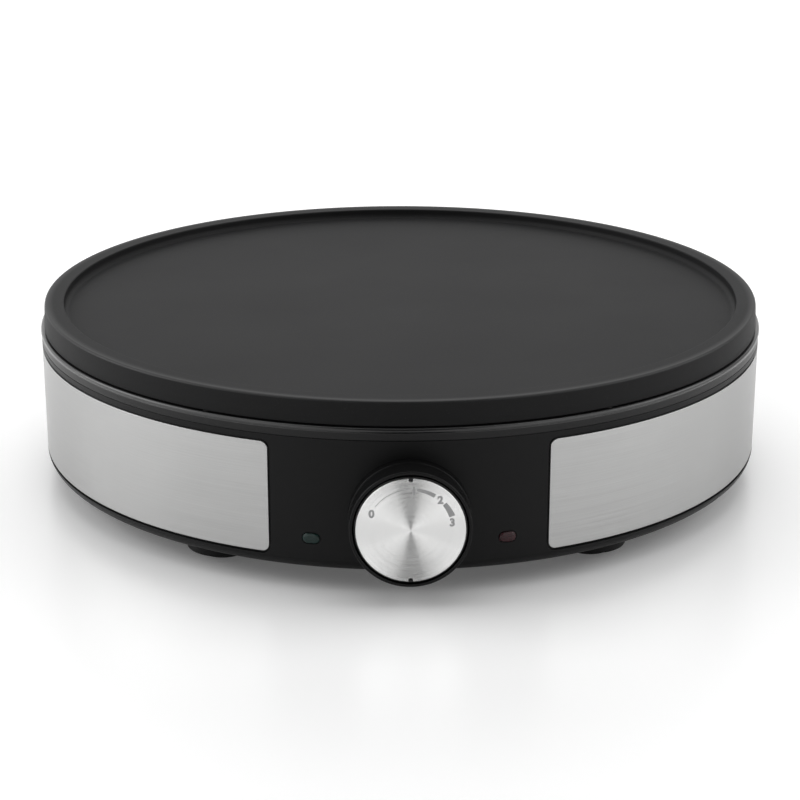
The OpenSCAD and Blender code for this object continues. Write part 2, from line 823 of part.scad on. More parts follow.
module thermostat_cover() {
    hole_back = case_back - case_cover_t - cut;
    hole_l = case_cover_t + 2 * cut;
    color(steatite)
    facing_front(knob_z) difference() {
        translate([-case_w / 2, -case_h / 2, case_back - case_cover_t]) cube([case_w, case_h, case_cover_t]);
        at_lever_pin() disc(lever_pin_r + slip, hole_back, hole_l);
        at_capillary() disc(capillary_d / 2 + seat_gap, hole_back, hole_l);
        translate([contact_strip_x - seat_gap, contact_strip_z - knob_z - seat_gap, hole_back])
            cube([tab_w + 2 * seat_gap, tab_t + 2 * seat_gap, hole_l]);
    }
}

module thermostat_bracket() {
    plate_w = case_screw_pitch + 2 * bracket_overhang;
    color(zinc)
    facing_front(knob_z) difference() {
        translate([-plate_w / 2, -case_h / 2, bracket_face]) cube([plate_w, case_h, bracket_t]);
        disc(shaft_hole_r, bracket_face - cut, bracket_t + 2 * cut);
        at_case_screws() disc(screw_r + slip, bracket_face - cut, bracket_t + 2 * cut);
    }
}

module thermostat_screws() {
    color(zinc)
    facing_front(knob_z) at_case_screws() translate([0, 0, bracket_face])
        mirror([0, 0, 1]) screw(body_r - bracket_face + bezel_floor - 1.2);
}

module switch_lever() {
    lever_back = lever_front - lever_w;
    color(copper)
    facing_front(0) difference() {
        union() {
            translate([lever_pivot_x, lever_under_z, lever_back])
                cube([lever_end_x - lever_pivot_x + button_r, lever_t, lever_w]);
            translate([lever_pivot_x, lever_z, 0]) disc(lever_curl_r, lever_back, lever_w);
            translate([lever_end_x, lever_z, lever_back + lever_w / 2]) rotate([-90, 0, 0])
                cylinder(r = button_r, h = lever_t / 2 + button_t);
        }
        translate([lever_pivot_x, lever_z, 0]) disc(lever_pin_r + slip, lever_back - cut, lever_w + 2 * cut);
    }
}

module lever_pin() {
    pin_back = case_back - case_cover_t - 1;
    color(brass)
    facing_front(0) {
        translate([lever_pivot_x, lever_z, 0])
            disc(lever_pin_r, pin_back, bracket_face - case_front_wall + lever_pin_depth - 0.3 - pin_back);
        translate([lever_pivot_x - tab_t / 2, lever_z - tab_w / 2, terminal_back - seat_gap])
            cube([tab_t, tab_w, tab_l]);
    }
}

module fixed_contact() {
    color(brass)
    facing_front(0) {
        translate([lever_end_x, contact_z, lever_front - lever_w / 2]) rotate([-90, 0, 0])
            cylinder(r = button_r, h = contact_strip_z - contact_z + tab_t / 2);
        translate([contact_strip_x, contact_strip_z, terminal_back])
            cube([tab_w, tab_t, lever_front - terminal_back]);
    }
}

module capillary_sensor() {
    tail_back = case_back - case_cover_t - 6;
    start = [0, -tail_back, knob_z - case_inner_h / 4];
    color(copper) {
        facing_front(knob_z) at_capillary() {
            disc(capsule_r, capsule_back, capsule_t);
            disc(capillary_d / 2, tail_back, capsule_back + cut - tail_back);
        }
        wire([
            start + [0, -0.5, 0], start + [0, 4, 0], [14, -104, 24], [40, -90, 27], [66, -68, 34],
            [bulb_x - 4, bulb_base_y - 16, 44], [bulb_x, bulb_base_y - 8, 53], [bulb_x, bulb_base_y - 6, 60],
            [bulb_x, bulb_base_y - 4, bulb_z - 1], [bulb_x, bulb_base_y + 1, bulb_z]
        ], capillary_d, [1, -0.9, 0.1]);
        translate([bulb_x, bulb_base_y, bulb_z]) rotate([-90, 0, 0]) cylinder(d = bulb_d, h = bulb_l);
    }
}

module sensor_clip() {
    foot_w = 9;
    clip_depth = 5;
    color(zinc)
    for (end = [-1, 1]) translate([bulb_x, end * bulb_l * 0.3, 0]) difference() {
        union() {
            translate([-clip_strap_t / 2, -clip_depth / 2, pan_floor_z])
                cube([clip_strap_t, clip_depth, bulb_z - bulb_d / 2 - pan_floor_z]);
            translate([-foot_w / 2, -clip_depth / 2, pan_floor_z]) cube([foot_w, clip_depth, clip_strap_t]);
            translate([0, clip_depth / 2, bulb_z]) rotate([90, 0, 0])
                cylinder(r = bulb_d / 2 + slip + clip_strap_t, h = clip_depth);
        }
        translate([0, clip_depth, bulb_z]) rotate([90, 0, 0])
            cylinder(r = bulb_d / 2 + slip, h = 2 * clip_depth);
        translate([-bulb_d, -clip_depth, bulb_z + 0.6]) cube([2 * bulb_d, 2 * clip_depth, bulb_d]);
    }
}

// ---- Heating element ----

module bend(r, from, to) rotate([0, 0, from]) rotate_extrude(angle = to - from)
    translate([r, 0]) circle(d = element_d, $fn = 48);

// Puts its children at the end of a loop, heading along the loop
module at_loop_end(r, angle) rotate([0, 0, angle]) translate([r, 0, element_z]) rotate([0, 0, 90]) children();

module at_legs() {
    at_loop_end(outer_loop_r, outer_end) children();
    at_loop_end(inner_loop_r, inner_end) children();
}

module heating_element() {
    leg_l = element_z - leg_bend_r - leg_end_z;
    hairpin_r = (outer_loop_r - inner_loop_r) / 2;
    collar_l = 3;
    collar_proud = 0.3;
    color([0.3, 0.29, 0.27]) {
        translate([0, 0, element_z]) {
            bend(outer_loop_r, outer_start, outer_end);
            bend(inner_loop_r, outer_start, inner_end);
            rotate([0, 0, outer_start]) translate([inner_loop_r + hairpin_r, 0, 0]) bend(hairpin_r, 180, 360);
        }
        at_legs() {
            rotate([0, 90, 0]) translate([0, 0, -collar_l / 2])
                cylinder(d = element_d + collar_proud, h = collar_l);
            translate([0, 0, -leg_bend_r]) rotate([90, 0, 0]) bend(leg_bend_r, 0, 90);
            translate([leg_bend_r, 0, -leg_bend_r - leg_l]) cylinder(d = element_d, h = leg_l, $fn = 48);
        }
    }
}

module under_legs() at_legs() translate([leg_bend_r, 0, leg_end_z - element_z]) children();

module element_end_seals() color(steatite) under_legs() disc(element_d / 2 - 0.4, -seal_h, seal_h);

module element_pins() {
    color(zinc)
    under_legs() {
        disc(pin_r, -seal_h - pin_l, pin_l);
        translate([-tab_w / 2, -tab_t / 2, -seal_h - pin_l - tab_l + pin_tab_lap])
            cube([tab_w, tab_t, tab_l]);
    }
}

module element_supports() {
    inner_edge = inner_loop_r - support_over;
    outer_edge = outer_loop_r + support_over;
    top_z = element_z - element_d / 6;
    saddle_angle = 10;
    color(zinc)
    for (a = support_angles) rotate([0, 0, a]) difference() {
        union() {
            translate([inner_edge, -support_t / 2, pan_floor_z])
                cube([outer_edge - inner_edge, support_t, top_z - pan_floor_z]);
            translate([inner_edge, -support_t / 2, pan_floor_z])
                cube([outer_edge - inner_edge, support_foot, support_t]);
        }
        translate([0, 0, element_z]) for (r = [inner_loop_r, outer_loop_r])
            rotate([0, 0, -saddle_angle]) rotate_extrude(angle = 2 * saddle_angle)
                translate([r, 0]) circle(d = element_d + 4 * slip, $fn = 48);
    }
}

// ---- Pan and shield ----

module at_spacers() for (a = spacer_angles) from_front(a) translate([0, -spacer_circle_r, 0]) children();

module reflector_pan() {
    color([0.7, 0.71, 0.72])
    difference() {
        rotate_extrude() polygon([
            [0, pan_z], [pan_floor_r, pan_z], [pan_floor_r + pan_slope_w, flange_top_z],
            [pan_rim_r, flange_top_z], [pan_rim_r, flange_top_z + pan_t],
            [pan_floor_r + pan_slope_w - pan_t, flange_top_z + pan_t], [pan_floor_r - pan_t, pan_floor_z],
            [0, pan_floor_z]
        ]);
        for (a = pan_screw_angles) from_front(a) translate([0, -pan_screw_r, 0])
            disc(screw_r + slip, flange_top_z - cut, pan_t + 2 * cut);
        at_spacers() disc(rivet_r + slip, pan_z - cut, pan_t + 2 * cut);
        under_legs() disc(leg_hole_r, 0, pan_depth + 4);
        translate([bulb_x, bulb_base_y - 7, 0]) disc(3, pan_z - cut, pan_t + 2 * cut);
    }
}

module pan_screws() {
    color(zinc)
    for (a = pan_screw_angles) from_front(a) translate([0, -pan_screw_r, flange_top_z + pan_t]) screw(6);
}

module heat_shield() {
    color([0.62, 0.63, 0.64])
    difference() {
        disc(shield_r, shield_z, pan_t);
        at_spacers() disc(rivet_r + slip, shield_z - cut, pan_t + 2 * cut);
        under_legs() disc(leg_hole_r, 0, pan_depth + 4);
        translate([bulb_x - 2, bulb_base_y - 13, 0]) disc(6, shield_z - cut, pan_t + 2 * cut);
        translate([earth_x, earth_y, 0]) disc(screw_r + slip, shield_z - cut, pan_t + 2 * cut);
    }
}

module shield_spacers() color(zinc) at_spacers() tube(spacer_r, rivet_r + slip, shield_z + pan_t, shield_gap);

module shield_rivets() {
    color(zinc)
    at_spacers() {
        disc(rivet_r, shield_z, pan_floor_z - shield_z);
        disc(rivet_head_r, shield_z - rivet_head_h, rivet_head_h);
        disc(rivet_head_r, pan_floor_z, rivet_head_h);
    }
}

// ---- Pilot lights ----

module lens() facing_front(lens_z) {
    translate([0, 0, lens_back]) linear_extrude(lens_flange_t)
        slot_2d(lens_l + lens_flange_grow, lens_w + lens_flange_grow);
    translate([0, 0, lens_back]) linear_extrude(lens_face - lens_back) slot_2d(lens_l, lens_w);
}

module lamp() facing_front(lens_z) {
    disc(lamp_r, lamp_tip - lamp_l, lamp_l - 1);
    disc(lamp_r - 0.8, lamp_tip - 1.5, 1.5);
}

module lamp_holder() facing_front(lens_z) difference() {
    translate([-holder_l / 2, -holder_h / 2, holder_back])
        cube([holder_l, holder_h, holder_face - holder_back]);
    translate([0, 0, lens_back - 0.1]) linear_extrude(10)
        slot_2d(lens_l + lens_flange_grow + 0.2, lens_w + lens_flange_grow + 0.2);
    disc(lamp_r + slip, holder_back - cut, 20);
}

module green_lens() color([0.02, 0.16, 0.08]) from_front(-lens_angle) lens();

module red_lens() color([0.22, 0.02, 0.03]) from_front(lens_angle) lens();

module green_lamp() color([0.8, 0.9, 0.85]) from_front(-lens_angle) lamp();

module red_lamp() color([0.9, 0.82, 0.8]) from_front(lens_angle) lamp();

module green_lamp_holder() color("dimgray") from_front(-lens_angle) lamp_holder();

module red_lamp_holder() color("dimgray") from_front(lens_angle) lamp_holder();

// ---- Wiring ----

module thermal_fuse() {
    color([0.85, 0.85, 0.87])
    translate([fuse_x, fuse_y, fuse_z]) rotate([90, 0, 0]) {
        translate([0, 0, -fuse_l / 2]) cylinder(r = fuse_r, h = fuse_l);
        translate([0, 0, -fuse_l / 2 - 4]) cylinder(r = 0.6, h = fuse_l + 8);
    }
}

module fuse_strap() {
    strap_w = 6;
    strap_t = 0.6;
    ear = 6;
    color(zinc)
    translate([fuse_x, fuse_y, 0]) difference() {
        union() {
            translate([0, strap_w / 2, fuse_z]) rotate([90, 0, 0])
                cylinder(r = fuse_r + slip + strap_t, h = strap_w);
            translate([-fuse_r - ear, -strap_w / 2, shield_z - strap_t])
                cube([2 * (fuse_r + ear), strap_w, strap_t]);
        }
        translate([0, strap_w, fuse_z]) rotate([90, 0, 0]) cylinder(r = fuse_r + slip, h = 2 * strap_w);
        translate([-20, -20, shield_z]) cube([40, 40, 10]);
    }
}

module at_ways() for (way = [-1 : 1]) translate([way * block_pitch, block_y, 0]) children();

module terminal_block() {
    well_r = 2.6;
    groove_w = 1.6;
    groove_depth = 4;
    color(steatite)
    difference() {
        translate([-block_w / 2, block_y - block_l / 2, block_z]) cube([block_w, block_l, block_h]);
        at_ways() {
            translate([0, block_l, block_bore_z]) rotate([90, 0, 0])
                cylinder(r = block_bore_r, h = 2 * block_l);
            for (end = [-1, 1]) translate([0, end * block_l / 4, 0]) disc(well_r, block_bore_z, block_h);
        }
        for (side = [-1, 1]) translate([
            side * block_pitch / 2 - groove_w / 2, block_y - block_l, block_z + block_h - groove_depth
        ]) cube([groove_w, 2 * block_l, 2 * groove_depth]);
        at_block_screws() disc(screw_r + slip, block_z - cut, block_screw_grip + 2 * cut);
    }
}

module terminal_screws() {
    grub_r = 2.5;
    grub_l = 4;
    slot_w = 0.8;
    color(brass)
    at_ways() for (end = [-1, 1]) translate([0, end * block_l / 4, block_bore_z + block_bore_r + 0.4])
        difference() {
            cylinder(r = grub_r, h = grub_l);
            translate([-grub_r - cut, -slot_w / 2, grub_l - cut]) cube([2 * (grub_r + cut), slot_w, 2 * cut]);
        }
}

module block_screws() {
    color(zinc)
    at_block_screws() translate([0, 0, floor_gap]) mirror([0, 0, 1])
        screw(cover_t + block_post_h + block_screw_grip);
}

module earth_tag() {
    tag_r = 4;
    color(brass)
    translate([earth_x, earth_y, shield_z - tab_t]) difference() {
        union() {
            cylinder(r = tag_r, h = tab_t);
            translate([-tag_r / 2, 0, 0]) cube([tag_r, tag_l, tab_t]);
        }
        translate([0, 0, -cut]) cylinder(r = screw_r + slip, h = tab_t + 2 * cut);
    }
}

module earth_screw() {
    color(zinc)
    translate([earth_x, earth_y, shield_z - tab_t]) mirror([0, 0, 1]) screw(4);
}

module cord_gland() {
    color(rubber)
    facing_at(180, gland_z) rotate_extrude() polygon([
        [gland_bore_r, gland_seat - gland_ring_t], [gland_flange_r, gland_seat - gland_ring_t],
        [gland_flange_r, gland_seat], [gland_neck_r, gland_seat],
        [gland_neck_r, body_r + seat_gap], [gland_flange_r, body_r + seat_gap],
        [gland_flange_r, body_r + gland_flange_t],
        [gland_neck_r, body_r + gland_flange_t + 1], [gland_tip_r, body_r + gland_reach],
        [gland_bore_r, body_r + gland_reach]
    ]);
}

block_front_y = block_y - block_l / 2;
function leg_foot(r, angle) = [
    r * cos(angle) - leg_bend_r * sin(angle),
    r * sin(angle) + leg_bend_r * cos(angle),
    leg_end_z - seal_h - pin_l - tab_l + pin_tab_lap - lead_touch
];
outer_pin = leg_foot(outer_loop_r, outer_end);
inner_pin = leg_foot(inner_loop_r, inner_end);
lever_tab = [lever_pivot_x, seat_gap - terminal_back + lead_touch, lever_z];
contact_tab = [contact_strip_x + tab_w / 2, lead_touch - terminal_back, contact_strip_z + tab_t / 2];
fuse_front = [fuse_x, fuse_y - fuse_l / 2 - 4 - lead_touch, fuse_z];
fuse_rear = [fuse_x, fuse_y + fuse_l / 2 + 4 + lead_touch, fuse_z];

module live_lead() {
    color([0.35, 0.18, 0.1])
    wire([
        [-block_pitch, block_front_y + 3, block_bore_z], [-block_pitch, block_front_y - 8, block_bore_z],
        [-24, 66, 15], [-44, 20, 14], [-50, -30, 15], [-40, -76, 22], lever_tab + [-4, 12, -2],
        lever_tab + [0, 5, 0], lever_tab
    ], lead_d, [1, 0.3, 0.2]);
}

module switched_lead() {
    color([0.3, 0.3, 0.3])
    wire([
        contact_tab, contact_tab + [0, 6, -0.5], contact_tab + [6, 9, -3], fuse_front + [-8, -7, -2],
        fuse_front + [0, -6, 0], fuse_front
    ], lead_d, [0.2, 0.1, 1]);
}

module fused_lead() {
    color([0.3, 0.3, 0.3])
    wire([
        fuse_rear, fuse_rear + [0, 6, -0.5], fuse_rear + [-9, 11, -5], [6, -58, 34], outer_pin + [22, 8, -4],
        outer_pin + [6, 1, -7], outer_pin + [0, 0, -4], outer_pin
    ], lead_d, [-0.3, 1, 0.15]);
}

module neutral_lead() {
    color([0.15, 0.3, 0.6])
    wire([
        [block_pitch, block_front_y + 3, block_bore_z], [block_pitch, block_front_y - 8, block_bore_z],
        [14, 66, 15], [4, 20, 14], [-14, -20, 17], inner_pin + [3, 8, -10], inner_pin + [0, 1, -5], inner_pin
    ], lead_d, [1, 0.3, 0.2]);
}

module earth_lead() {
    color([0.35, 0.6, 0.2])
    wire([
        [0, block_front_y + 3, block_bore_z], [0, block_front_y - 7, block_bore_z], [6, 84, 20], [14, 76, 34],
        [earth_x - 3, earth_y + tag_l + 9, shield_z - 5],
        [earth_x, earth_y + tag_l + 4, shield_z - lead_d / 2 - 0.6],
        [earth_x, earth_y + tag_l + lead_touch, shield_z - lead_d / 2 - 0.3]
    ], lead_d, [1, 0.1, 0.1]);
}

module lamp_leads(angle, toward) {
    tail = lamp_tip - lamp_l - lead_touch;
    for (side = [-1, 1]) {
        inward = [-sin(angle), cos(angle), 0];
        across = [cos(angle), sin(angle), 0];
        begin = side * 1.3 * across - tail * inward + [0, 0, lens_z];
        wire([
            begin, begin + 6 * inward, begin + 16 * inward + [toward * 3, 0, -3],
            [toward * (29 - side * 2), -104, 14], [toward * (34 - side * 2), -88, 13]
        ], lamp_lead_d, [1, 0.2 * toward, 0.15]);
    }
}

module green_lamp_leads() color([0.9, 0.9, 0.9]) lamp_leads(-lens_angle, -1);

module red_lamp_leads() color([0.9, 0.9, 0.9]) mirror([1, 0, 0]) lamp_leads(-lens_angle, -1);

baking_plate();
plate_pads();
base_ring();
ring_screws();
housing();
left_panel();
right_panel();
panel_push_nuts();
bottom_cover();
cover_screws();
foot_at(-foot_angle);  // front_left_foot
foot_at(foot_angle);  // front_right_foot
foot_at(180 + foot_angle);  // rear_left_foot
foot_at(180 - foot_angle);  // rear_right_foot
knob_body();
knob_disc();
knob_clip();
knob_bezel();
thermostat_shaft();
thermostat_cam();
thermostat_case();
thermostat_cover();
thermostat_bracket();
thermostat_screws();
switch_lever();
lever_pin();
fixed_contact();
capillary_sensor();
sensor_clip();
heating_element();
element_end_seals();
element_pins();
element_supports();
reflector_pan();
pan_screws();
heat_shield();
shield_spacers();
shield_rivets();
green_lens();
red_lens();
green_lamp();
red_lamp();
green_lamp_holder();
red_lamp_holder();
thermal_fuse();
fuse_strap();
terminal_block();
terminal_screws();
block_screws();
earth_tag();
earth_screw();
cord_gland();
live_lead();
switched_lead();
fused_lead();
neutral_lead();
earth_lead();
green_lamp_leads();
red_lamp_leads();
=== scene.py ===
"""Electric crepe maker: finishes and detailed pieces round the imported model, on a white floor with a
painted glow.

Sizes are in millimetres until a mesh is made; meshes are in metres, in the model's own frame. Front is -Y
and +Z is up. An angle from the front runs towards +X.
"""

import json
import logging
import math
from abc import ABC, abstractmethod
from dataclasses import dataclass, field
from enum import Enum
from functools import lru_cache
from typing import Any, Callable, Sequence

import bmesh
import bpy
import numpy as np
from mathutils import Matrix, Vector
from mathutils.geometry import delaunay_2d_cdt


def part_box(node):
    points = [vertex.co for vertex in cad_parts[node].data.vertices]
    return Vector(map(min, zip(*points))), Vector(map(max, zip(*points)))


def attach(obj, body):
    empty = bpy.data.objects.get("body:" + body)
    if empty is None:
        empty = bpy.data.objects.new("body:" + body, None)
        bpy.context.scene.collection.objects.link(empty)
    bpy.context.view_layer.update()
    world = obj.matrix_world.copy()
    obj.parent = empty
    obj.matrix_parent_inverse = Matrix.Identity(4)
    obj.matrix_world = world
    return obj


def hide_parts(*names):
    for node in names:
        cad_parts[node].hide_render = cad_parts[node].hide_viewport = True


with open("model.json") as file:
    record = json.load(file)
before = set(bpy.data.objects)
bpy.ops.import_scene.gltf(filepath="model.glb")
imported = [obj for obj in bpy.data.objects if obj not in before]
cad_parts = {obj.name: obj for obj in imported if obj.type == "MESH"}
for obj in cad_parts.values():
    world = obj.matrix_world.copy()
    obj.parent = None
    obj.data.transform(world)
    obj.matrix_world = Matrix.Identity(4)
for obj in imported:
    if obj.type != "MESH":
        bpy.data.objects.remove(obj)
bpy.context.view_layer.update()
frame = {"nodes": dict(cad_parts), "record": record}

Point2 = tuple[float, float]
Corner = tuple[float, float, float]
Colour = tuple[float, float, float]
Step = tuple[float, float]
Mesh = bpy.types.Mesh
Material = bpy.types.Material

MM = 0.001
ROUND_SIDES = 360
SHARP_ANGLE = math.radians(38)
WELD = 1e-6

log = logging.getLogger("crepe_maker")


class Body(Enum):
    """The bodies that pieces ride on."""

    BASE = "base"
    PLATE = "plate"
    KNOB = "knob"


class Slot(Enum):
    """The material slots of the record."""

    NONSTICK = "nonstick_coating"
    BLACK = "black_plastic"
    RING = "ring_plastic"
    KNOB = "knob_plastic"
    BRUSHED = "brushed_steel"
    SPUN = "spun_aluminium"
    PLATED = "plated_steel"
    ALUMINISED = "aluminised_steel"
    SHEATH = "element_sheath"
    STEATITE = "steatite"
    BRASS = "brass"
    COPPER = "copper"
    RUBBER = "rubber"
    GREEN_LENS = "green_lens"
    RED_LENS = "red_lens"
    LAMP_GLASS = "lamp_glass"
    HOLDER = "holder_plastic"
    LEAD_BROWN = "lead_brown"
    LEAD_GREY = "lead_grey"
    LEAD_BLUE = "lead_blue"
    LEAD_GREEN = "lead_green"
    LEAD_WHITE = "lead_white"


# ---- Node trees ----


class Signal:
    """One output of a node tree. Arithmetic on it adds the nodes that work it out."""

    def __init__(self, owner: "NodeTree", socket: bpy.types.NodeSocket | None) -> None:
        """Wraps an output socket of its owner's tree, or none for a node that ends it."""
        self.owner = owner
        self.socket = socket

    def math(self, operation: str, *values: "Signal | float", first: float | None = None) -> "Signal":
        """Adds a Math node.

        Args:
            operation: The Math node's operation.
            values: The operands after this one.
            first: A number that goes before this signal, for the reflected forms.

        Returns:
            The node's output.
        """
        operands = (self, *values) if first is None else (first, self)
        return self.owner.node("ShaderNodeMath", {"operation": operation}, dict(enumerate(operands)))

    def __add__(self, other: "Signal | float") -> "Signal":
        """Sum."""
        return self.math("ADD", other)

    __radd__ = __add__

    def __sub__(self, other: "Signal | float") -> "Signal":
        """Difference."""
        return self.math("SUBTRACT", other)

    def __rsub__(self, other: float) -> "Signal":
        """Reflected difference."""
        return self.math("SUBTRACT", first=other)

    def __mul__(self, other: "Signal | float") -> "Signal":
        """Product."""
        return self.math("MULTIPLY", other)

    __rmul__ = __mul__

    def __truediv__(self, other: "Signal | float") -> "Signal":
        """Quotient."""
        return self.math("DIVIDE", other)

    def step(self, low: float, high: float) -> "Signal":
        """Rises smoothly from 0 at low to 1 at high; with low above high it falls.

        Args:
            low: Value that gives 0.
            high: Value that gives 1.

        Returns:
            The value between 0 and 1.
        """
        ends = {"From Min": low, "From Max": high, "To Min": 0.0, "To Max": 1.0}
        return self.owner.node(
            "ShaderNodeMapRange", {"interpolation_type": "SMOOTHSTEP"}, {"Value": self, **ends}
        )


class NodeTree:
    """Builds a node tree out of signals."""

    def __init__(self, tree: bpy.types.NodeTree) -> None:
        """Wraps an empty tree."""
        self.tree = tree

    @staticmethod
    def find(sockets: Any, key: str | int) -> bpy.types.NodeSocket:
        """Finds a socket that is in use, by its name or its place among those in use."""
        used = [socket for socket in sockets if socket.enabled]
        return used[key] if isinstance(key, int) else next(s for s in used if s.name == key)

    def node(
        self,
        kind: str,
        settings: dict[str, Any] | None = None,
        inputs: dict[str | int, Any] | None = None,
        output: str | int = 0,
    ) -> Signal:
        """Adds any node.

        Args:
            kind: The node's type.
            settings: Properties, set before the sockets.
            inputs: A value or a signal for each socket, by name or place.
            output: The output to return.

        Returns:
            The chosen output.
        """
        made = self.tree.nodes.new(kind)
        for name, value in (settings or {}).items():
            setattr(made, name, value)
        for key, value in (inputs or {}).items():
            socket = self.find(made.inputs, key)
            if isinstance(value, Signal):
                self.tree.links.new(value.socket, socket)
            else:
                socket.default_value = value
        return Signal(self, self.find(made.outputs, output) if made.outputs else None)

    def vector(self, operation: str, *values: Any) -> Signal:
        """Adds a Vector Math node and returns its output."""
        return self.node("ShaderNodeVectorMath", {"operation": operation}, dict(enumerate(values)))

    def axes(self, vector: Signal) -> tuple[Signal, Signal, Signal]:
        """Splits a vector into its three numbers."""
        x = self.node("ShaderNodeSeparateXYZ", inputs={0: vector})
        return x, Signal(self, x.socket.node.outputs[1]), Signal(self, x.socket.node.outputs[2])


class Recipe(NodeTree):
    """The node tree of one material."""

    def __init__(self, name: str) -> None:
        """Starts an empty material of that name.

        Args:
            name: Name of the material.
        """
        self.material = bpy.data.materials.new(name)
        self.material.use_nodes = True
        super().__init__(self.material.node_tree)
        self.tree.nodes.clear()

    def place(self) -> Signal:
        """Position on the piece, in millimetres."""
        position = self.node("ShaderNodeTexCoord", output="Object")
        return self.vector("SCALE", position, 1 / MM)

    def join(self, x: Signal | float, y: Signal | float, z: Signal | float) -> Signal:
        """Joins three numbers into a vector."""
        return self.node("ShaderNodeCombineXYZ", inputs={0: x, 1: y, 2: z})

    def noise(self, vector: Signal, size: float, detail: float = 3.0, roughness: float = 0.5) -> Signal:
        """Cloudy noise whose largest forms are about size millimetres."""
        inputs = {"Vector": vector, "Scale": 1 / size, "Detail": detail, "Roughness": roughness}
        return self.node("ShaderNodeTexNoise", inputs=inputs)

    def cells(self, vector: Signal, size: float, output: str = "Distance") -> Signal:
        """Cell pattern with cells of about size millimetres."""
        return self.node("ShaderNodeTexVoronoi", inputs={"Vector": vector, "Scale": 1 / size}, output=output)

    def random(self, seed: Signal) -> Signal:
        """Random number from 0 to 1 for each value of the seed."""
        return self.node("ShaderNodeTexWhiteNoise", {"noise_dimensions": "1D"}, {"W": seed})

    def blend(self, amount: Signal | float, low: Signal | Colour, high: Signal | Colour) -> Signal:
        """Mixes two colours.

        Args:
            amount: Share of the second.
            low: First colour.
            high: Second colour.

        Returns:
            The mixed colour.
        """
        low, high = ((*c, 1.0) if isinstance(c, tuple) else c for c in (low, high))
        inputs = {"Factor": amount, "A": low, "B": high}
        return self.node("ShaderNodeMix", {"data_type": "RGBA"}, inputs)

    def relief(self, height: Signal, depth: float, strength: float = 1.0) -> Signal:
        """Normal of a relief whose height of 0 to 1 spans depth millimetres."""
        inputs = {"Height": height, "Distance": depth * MM, "Strength": strength}
        return self.node("ShaderNodeBump", inputs=inputs)

    def surface(self, inputs: dict[str | int, Any]) -> Material:
        """Ends the tree in a Principled shader with these inputs.

        Args:
            inputs: Values and signals by socket name; colours may have three numbers.

        Returns:
            The finished material.
        """
        colours = {k: (*v, 1.0) if isinstance(v, tuple) and len(v) == 3 else v for k, v in inputs.items()}
        shader = self.node("ShaderNodeBsdfPrincipled", inputs=colours)
        self.node("ShaderNodeOutputMaterial", inputs={"Surface": shader})
        return self.material


class Tool(NodeTree):
    """A Geometry Nodes tree that makes a plain mesh. Its first input is the geometry that it works on."""

    def __init__(self, name: str, sockets: dict[str, str]) -> None:
        """Starts a tree.

        Args:
            name: The tree's name.
            sockets: The type of each named input after the geometry.
        """
        super().__init__(bpy.data.node_groups.new(name, "GeometryNodeTree"))
        interface = self.tree.interface
        interface.new_socket("Geometry", in_out="INPUT", socket_type="NodeSocketGeometry")
        self.identifiers = {
            key: interface.new_socket(key, in_out="INPUT", socket_type=kind).identifier
            for key, kind in {**sockets, "Material": "NodeSocketMaterial"}.items()
        }
        interface.new_socket("Geometry", in_out="OUTPUT", socket_type="NodeSocketGeometry")
        self.group_input = self.tree.nodes.new("NodeGroupInput")

    def given(self, key: str) -> Signal:
        """The named input."""
        return Signal(self, self.find(self.group_input.outputs, key))

    def end(self, geometry: Signal) -> "Tool":
        """Ends the tree in real geometry with the named material.

        Args:
            geometry: What leaves the tree.

        Returns:
            This tool.
        """
        real = self.node("GeometryNodeRealizeInstances", inputs={"Geometry": geometry})
        dressed = self.node(
            "GeometryNodeSetMaterial", inputs={"Geometry": real, "Material": self.given("Material")}
        )
        output = self.tree.nodes.new("NodeGroupOutput")
        self.tree.links.new(dressed.socket, output.inputs[0])
        return self

    def run(self, start: Mesh, **values: Any) -> Mesh:
        """Runs the tree once.

        Args:
            start: The mesh that goes in.
            values: The named inputs.

        Returns:
            A plain mesh.
        """
        carrier = bpy.data.objects.new("carrier", start)
        bpy.context.scene.collection.objects.link(carrier)
        modifier = carrier.modifiers.new("tool", "NODES")
        modifier.node_group = self.tree
        for key, value in {**values, "Material": blank_material()}.items():
            modifier[self.identifiers[key]] = value
        mesh = evaluated_mesh(carrier)
        bpy.data.objects.remove(carrier)
        return mesh


@lru_cache(maxsize=None)
def blank_material() -> Material:
    """What a tool's mesh carries until its piece gets its finish."""
    return bpy.data.materials.new("blank")


def evaluated_mesh(carrier: bpy.types.Object) -> Mesh:
    """Plain mesh of an object with its modifiers applied.

    Args:
        carrier: Object with live modifiers.

    Returns:
        The plain mesh.
    """
    carrier.update_tag()
    bpy.context.view_layer.update()
    graph = bpy.context.evaluated_depsgraph_get()
    return bpy.data.meshes.new_from_object(carrier.evaluated_get(graph), depsgraph=graph)


